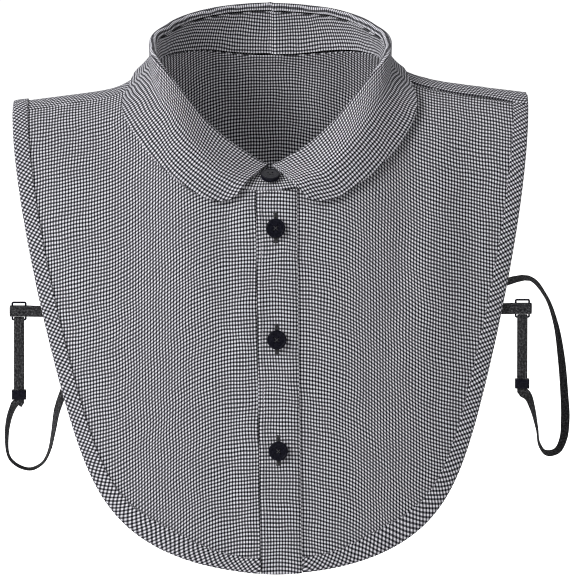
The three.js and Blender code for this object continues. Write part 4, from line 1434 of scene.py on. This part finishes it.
class ShirtFrontTrim(bpy.types.PropertyGroup):
    stitch_pitch: bpy.props.FloatProperty(
        name="Stitch pitch", description="Distance from stitch to stitch", default=0.0022,
        unit="LENGTH", precision=5)
    stitch_length: bpy.props.FloatProperty(
        name="Stitch length", description="Length of one stitch", default=0.0016, unit="LENGTH",
        precision=5)
    thread_width: bpy.props.FloatProperty(
        name="Thread width", description="Thickness of the thread", default=0.0004, unit="LENGTH",
        precision=5)
    buttonhole_length: bpy.props.FloatProperty(
        name="Buttonhole length", description="Length of a buttonhole", default=0.0172,
        unit="LENGTH", precision=4)
    button_colour: bpy.props.FloatVectorProperty(
        name="Button", description="Colour of the buttons", subtype="COLOR", size=4,
        default=(0.002, 0.002, 0.0045, 1.0))
    elastic_colour: bpy.props.FloatVectorProperty(
        name="Elastic", description="Colour of the straps", subtype="COLOR", size=4,
        default=(0.005, 0.005, 0.006, 1.0))
    fleck_colour: bpy.props.FloatVectorProperty(
        name="Elastic fleck", description="Colour of the flecks in the straps", subtype="COLOR",
        size=4, default=(0.10, 0.10, 0.104, 1.0))
    thread_colour: bpy.props.FloatVectorProperty(
        name="Light thread", description="Colour of the light sewing thread", subtype="COLOR",
        size=4, default=(0.26, 0.26, 0.28, 1.0))


class ShirtFrontStage(bpy.types.PropertyGroup):
    floor_colour: bpy.props.FloatVectorProperty(
        name="Floor", description="Colour of the floor", subtype="COLOR", size=4,
        default=(0.97, 0.97, 0.97, 1.0))
    floor_height: bpy.props.FloatProperty(
        name="Floor height", description="Height of the floor", default=-0.34, unit="LENGTH")
    light_strength: bpy.props.FloatProperty(
        name="Sky", description="Strength of the even light", default=0.46, min=0)
    key_power: bpy.props.FloatProperty(
        name="Key light", description="Power of the large light, in watts", default=80.0, min=0,
        unit="POWER")


def once(name, make, *values):
    """A material that several operators share."""
    return bpy.data.materials.get(name) or make(name, *values)


def body_cloth(context):
    return once("gingham", checked_cloth, context.scene.shirt_front_look)


def light_thread(context):
    trim = context.scene.shirt_front_trim
    return once("light_thread", thread_material, tuple(trim.thread_colour))


def black_thread(context):
    trim = context.scene.shirt_front_trim
    return once("black_thread", thread_material, tuple(trim.button_colour))


def button_down(index):
    return mix(first_button_down, last_button_down, index / (button_count - 1))


# Operators


class SHIRTFRONT_OT_panels(bpy.types.Operator):
    """Drape the back and the two fronts"""

    bl_idname = "shirtfront.panels"
    bl_label = "Back and fronts"

    def execute(self, context):
        cloth = body_cloth(context)
        for node, side in (("back_panel", 0), ("front_panel_left", -1), ("front_panel_right", 1)):
            flat = front_flat(side) if side else back_flat()
            outer, inner = panel_walls(flat, side)
            grain = flat.copy()
            if side == 0:
                grain[..., 0] += strip_lean * np.sign(flat[..., 0]) * np.maximum(flat[..., 1], 0)
            cloth_piece(node + "_cloth", node, outer, inner, grain, flat, cloth)
        return {"FINISHED"}


class SHIRTFRONT_OT_placket(bpy.types.Operator):
    """Lay the buttonhole strip down the front"""

    bl_idname = "shirtfront.placket"
    bl_label = "Placket"

    def execute(self, context):
        trim = context.scene.shirt_front_trim
        flat = placket_flat()
        outer, inner = placket_walls(flat)
        cloth_piece("placket_cloth", "button_placket", outer, inner, flat + placket_check_shift, flat,
                    body_cloth(context))
        start = neck_at_front(placket_centre)[1] + topstitch_below_neck
        end = hem_along(placket_centre) - topstitch_above_hem
        height = lap_lift + placket_wall / 2 - topstitch_sunk
        row = drape(placket_left + topstitch_inset, np.linspace(start, end, 220), height)
        stitch = (trim.stitch_pitch, trim.stitch_length, trim.thread_width)
        stitch_rows("placket_stitches", [row], *stitch, light_thread(context), "checked_cloth")
        return {"FINISHED"}


class SHIRTFRONT_OT_buttonholes(bpy.types.Operator):
    """Work the buttonholes in black thread"""

    bl_idname = "shirtfront.buttonholes"
    bl_label = "Buttonholes"

    def execute(self, context):
        trim = context.scene.shirt_front_trim
        height = lap_lift + placket_wall / 2
        x = placket_centre + button_across
        bars, cords = [], []
        for i in range(button_count):
            middle = button_down(i) - buttonhole_rise
            low, high = middle - trim.buttonhole_length / 2, middle + trim.buttonhole_length / 2
            for s in np.arange(low, high, bar_pitch):
                for side in (-1, 1):
                    bars.append(drape(x + side * np.array([bar_from, bar_to]), s, height))
            ends = x + end_bar_half * np.array([-1, 0, 1])
            for s in (low, high):
                for k in range(3):
                    bars.append(drape(ends, s + k * end_bar_pitch, height))
            for side in (-1, 1):
                cords.append(drape(x + side * cord_offset, np.linspace(low, high, 30), height))
        thread = black_thread(context)
        stitch_rows("buttonhole_bars", bars, *bar_stitch, thread, "black_elastic")
        stitch_rows("buttonhole_cords", cords, *cord_stitch, thread, "black_elastic")
        return {"FINISHED"}


class SHIRTFRONT_OT_bindings(bpy.types.Operator):
    """Fold bias tape round the edge of the bib"""

    bl_idname = "shirtfront.bindings"
    bl_label = "Edge bindings"

    def execute(self, context):
        cloth = body_cloth(context)
        turn = math.radians(45)
        for word, side in (("left", -1), ("right", 1)):
            outer, inner, cut = binding_rows(side)
            round_tape, along = cut[..., 0], cut[..., 1] * side
            bias = np.stack([
                round_tape * math.cos(turn) + along * math.sin(turn),
                -round_tape * math.sin(turn) + along * math.cos(turn),
            ], axis=-1)
            cloth_piece("binding_" + word, "edge_binding_" + word, outer, inner, bias, cut, cloth,
                        "bias_binding")
        return {"FINISHED"}


class SHIRTFRONT_OT_collar(bpy.types.Operator):
    """Set up the collar stand and fold the collar over it"""

    bl_idname = "shirtfront.collar"
    bl_label = "Collar"

    def execute(self, context):
        cloth = body_cloth(context)
        stand = stand_grid()
        outer, inner = thicken(stand, stand_wall)
        cut = grid_cut(stand, 0)
        cloth_piece("stand_cloth", "collar_stand", outer, inner, cut, cut, cloth)
        fall, cut = fall_grid()
        outer, inner = thicken(fall, fall_wall)
        cloth_piece("fall_cloth", "collar_fall", outer, inner, cut, cut, cloth)
        return {"FINISHED"}


class SHIRTFRONT_OT_buttons(bpy.types.Operator):
    """Sew on the four buttons"""

    bl_idname = "shirtfront.buttons"
    bl_label = "Buttons"

    def execute(self, context):
        colour = tuple(context.scene.shirt_front_trim.button_colour)
        plastic = once("button_moulding", moulded_black, colour, 0.32)
        x = placket_centre + button_across
        seats = []
        for i in range(button_count):
            s = button_down(i)
            seat = drape(x, s, lap_lift + placket_wall / 2)
            seats.append(("placket_button_%d" % (i + 1), seat, form_normal(x, s)))
        _, seam, _, out, fold, _, _ = neck_frame(-math.pi)
        rise = stand_wall / 2 + stand_bow + collar_button_rise
        seats.append(("collar_button", mix(seam, fold, collar_button_up) + out * rise, out))
        for node, seat, normal in seats:
            self.sew_on(context, node, seat + normal * gap, normal, plastic)
        return {"FINISHED"}

    def sew_on(self, context, node, seat, normal, plastic):
        turn = Vector((0, 0, 1)).rotation_difference(Vector(normal))
        place = Matrix.Translation(Vector(seat)) @ turn.to_matrix().to_4x4()
        rim_up = button_thickness - rim_down
        profile = [(rim_half_width * x, rim_up + rim_half_height * y) for x, y in circle(1, 12)]
        rim = ring_mesh(node + "_rim", button_radius - rim_inset, profile)
        shapes = []
        for mesh in (button_mesh(node), rim):
            mesh.transform(place)
            shapes.append(([v.co[:] for v in mesh.vertices], [p.vertices for p in mesh.polygons]))
        moulding = joined(node + "_moulding", shapes)
        smooth(moulding, 40)
        add_solid(node + "_moulding", moulding, plastic, [node], "black_button")
        base = button_thickness - button_dish - thread_sunk
        strands = []
        for start, end in (((-1, -1), (1, 1)), ((-1, 1), (1, -1))):
            for shift in (-button_thread_radius, button_thread_radius):
                path = [
                    (mix(start[0], end[0], t) * hole_offset + shift,
                     mix(start[1], end[1], t) * hole_offset,
                     base + thread_arch * math.sin(math.pi * t) ** thread_arch_power)
                    for t in np.linspace(0, 1, 11)
                ]
                points, faces = tube(path, button_thread_radius, 6)
                strands.append((points.tolist(), faces))
        thread = joined(node + "_thread", strands)
        thread.transform(place)
        thread.shade_smooth()
        add_solid(node + "_thread", thread, black_thread(context), [], "black_button")


class SHIRTFRONT_OT_straps(bpy.types.Operator):
    """Thread the elastic straps through their rings and sliders"""

    bl_idname = "shirtfront.straps"
    bl_label = "Side straps"

    def execute(self, context):
        trim = context.scene.shirt_front_trim
        elastic = once("woven_elastic", woven_elastic, tuple(trim.elastic_colour),
                       tuple(trim.fleck_colour))
        plastic = once("plastic_moulding", moulded_black, tuple(trim.button_colour), 0.3)
        for word, (side, _, _, slider_across, slider_up, _) in strap_places.items():
            route, widths = elastic_route(word)
            band = band_mesh("elastic_" + word, route, widths, strap_width, strap_wall)
            add_solid("elastic_" + word, band, elastic, ["elastic_strap_" + word], "black_elastic")
            route = tab_route(word)
            widths = np.broadcast_to(upward, route.shape)
            band = band_mesh("tab_" + word, route, widths, tab_width, strap_wall)
            add_solid("tab_" + word, band, elastic, ["strap_tab_" + word], "black_elastic")
            loop = rounded_loop(ring_centre(word), ring_width, ring_height, ring_corner)
            points, faces = tube(loop, ring_wire / 2, 12, closed=True)
            ring = mesh_from("ring_" + word, points, faces, sharp=60)
            add_solid("ring_" + word, ring, plastic, ["strap_ring_" + word], "black_plastic")
            slider = self.slider_mesh(word, side * slider_across, slider_up)
            add_solid("slider_" + word, slider, plastic, ["strap_slider_" + word], "black_plastic")
        return {"FINISHED"}

    def slider_mesh(self, word, x, z):
        half_x = strap_width / 2 + gap + slider_wall
        half_y = wrap_radius + strap_wall / 2 + gap + slider_wall
        loops = []
        walls = ((slider_bevel, slider_corner), (slider_wall - slider_bevel, slider_hole_corner))
        for inset_by, corner in walls:
            width, depth = 2 * (half_x - inset_by), 2 * (half_y - inset_by)
            loop = rounded_loop(np.zeros(3), width, depth, corner, 4)
            loops.append([(place[0], place[2]) for place in loop])
        centre = (x, strap_back, z)
        mesh = bevelled_plate("slider_" + word, loops, slider_height, slider_bevel, 2, centre)
        smooth(mesh, 40)
        return mesh


class SHIRTFRONT_OT_stage(bpy.types.Operator):
    """Set the floor, the lights and the camera"""

    bl_idname = "shirtfront.stage"
    bl_label = "Stage"

    def execute(self, context):
        stage = context.scene.shirt_front_stage
        scene = context.scene
        mesh = bpy.data.meshes.new("floor")
        reach, z = 20, stage.floor_height
        corners = [(-reach, -reach, z), (reach, -reach, z), (reach, reach, z), (-reach, reach, z)]
        mesh.from_pydata(corners, [], [(0, 1, 2, 3)])
        floor = new_object("floor", mesh, plain_stage("pale_floor", tuple(stage.floor_colour)))
        world = scene.world or bpy.data.worlds.new("studio")
        scene.world = world
        world.use_nodes = True
        sky = world.node_tree.nodes.get("Background")
        sky.inputs["Color"].default_value = (1, 1, 1, 1)
        sky.inputs["Strength"].default_value = stage.light_strength
        for name, place, size, power in (
            ("key", (-1.75, -1.3, 1.1), 0.9, stage.key_power),
            ("fill", (1.2, -1.8, 0.3), 1.6, stage.key_power * 0.1),
            ("top", (0.0, 0.7, 1.6), 1.0, stage.key_power * 0.12),
        ):
            light = bpy.data.lights.new(name, "AREA")
            light.size = size
            light.energy = power
            lamp = bpy.data.objects.new(name, light)
            lamp.location = place
            aim = Vector((0, 0, -0.1)) - Vector(place)
            lamp.rotation_euler = aim.to_track_quat("-Z", "Y").to_euler()
            scene.collection.objects.link(lamp)
        camera = bpy.data.objects.new("camera", bpy.data.cameras.new("camera"))
        camera.data.sensor_width = 36
        camera.data.lens = 312.5
        camera.data.clip_end = 60
        target = Vector((0.0105, 0, -0.10274))
        rise, distance = math.radians(7), 3
        camera.location = target + distance * Vector((0, -math.cos(rise), math.sin(rise)))
        camera.rotation_euler = (math.pi / 2 - rise, 0, 0)
        scene.collection.objects.link(camera)
        scene.camera = camera
        scene.view_settings.view_transform = "Standard"
        scene.cycles.filter_width = 1.1
        return {"FINISHED"}


class SHIRTFRONT_PT_sidebar(bpy.types.Panel):
    """Lists the steps of dressing the shirt front"""

    bl_idname = "SHIRTFRONT_PT_sidebar"
    bl_label = "Shirt front"
    bl_space_type = "VIEW_3D"
    bl_region_type = "UI"
    bl_category = "Shirt front"

    def draw(self, context):
        for operator in operators:
            self.layout.operator(operator.bl_idname)
        for group in ("shirt_front_look", "shirt_front_trim", "shirt_front_stage"):
            values = getattr(context.scene, group)
            for name in values.bl_rna.properties.keys():
                if name not in ("name", "rna_type"):
                    self.layout.prop(values, name)


operators = (
    SHIRTFRONT_OT_stage,
    SHIRTFRONT_OT_panels,
    SHIRTFRONT_OT_placket,
    SHIRTFRONT_OT_buttonholes,
    SHIRTFRONT_OT_bindings,
    SHIRTFRONT_OT_collar,
    SHIRTFRONT_OT_buttons,
    SHIRTFRONT_OT_straps,
)
groups = (ShirtFrontLook, ShirtFrontTrim, ShirtFrontStage)


def register():
    for kind in groups + operators + (SHIRTFRONT_PT_sidebar,):
        bpy.utils.register_class(kind)
    bpy.types.Scene.shirt_front_look = bpy.props.PointerProperty(type=ShirtFrontLook)
    bpy.types.Scene.shirt_front_trim = bpy.props.PointerProperty(type=ShirtFrontTrim)
    bpy.types.Scene.shirt_front_stage = bpy.props.PointerProperty(type=ShirtFrontStage)


def unregister():
    for name in ("shirt_front_look", "shirt_front_trim", "shirt_front_stage"):
        delattr(bpy.types.Scene, name)
    for kind in reversed(groups + operators + (SHIRTFRONT_PT_sidebar,)):
        bpy.utils.unregister_class(kind)


def main():
    register()
    for operator in operators:
        group, name = operator.bl_idname.split(".")
        getattr(getattr(bpy.ops, group), name)()


if __name__ == "__main__":
    main()
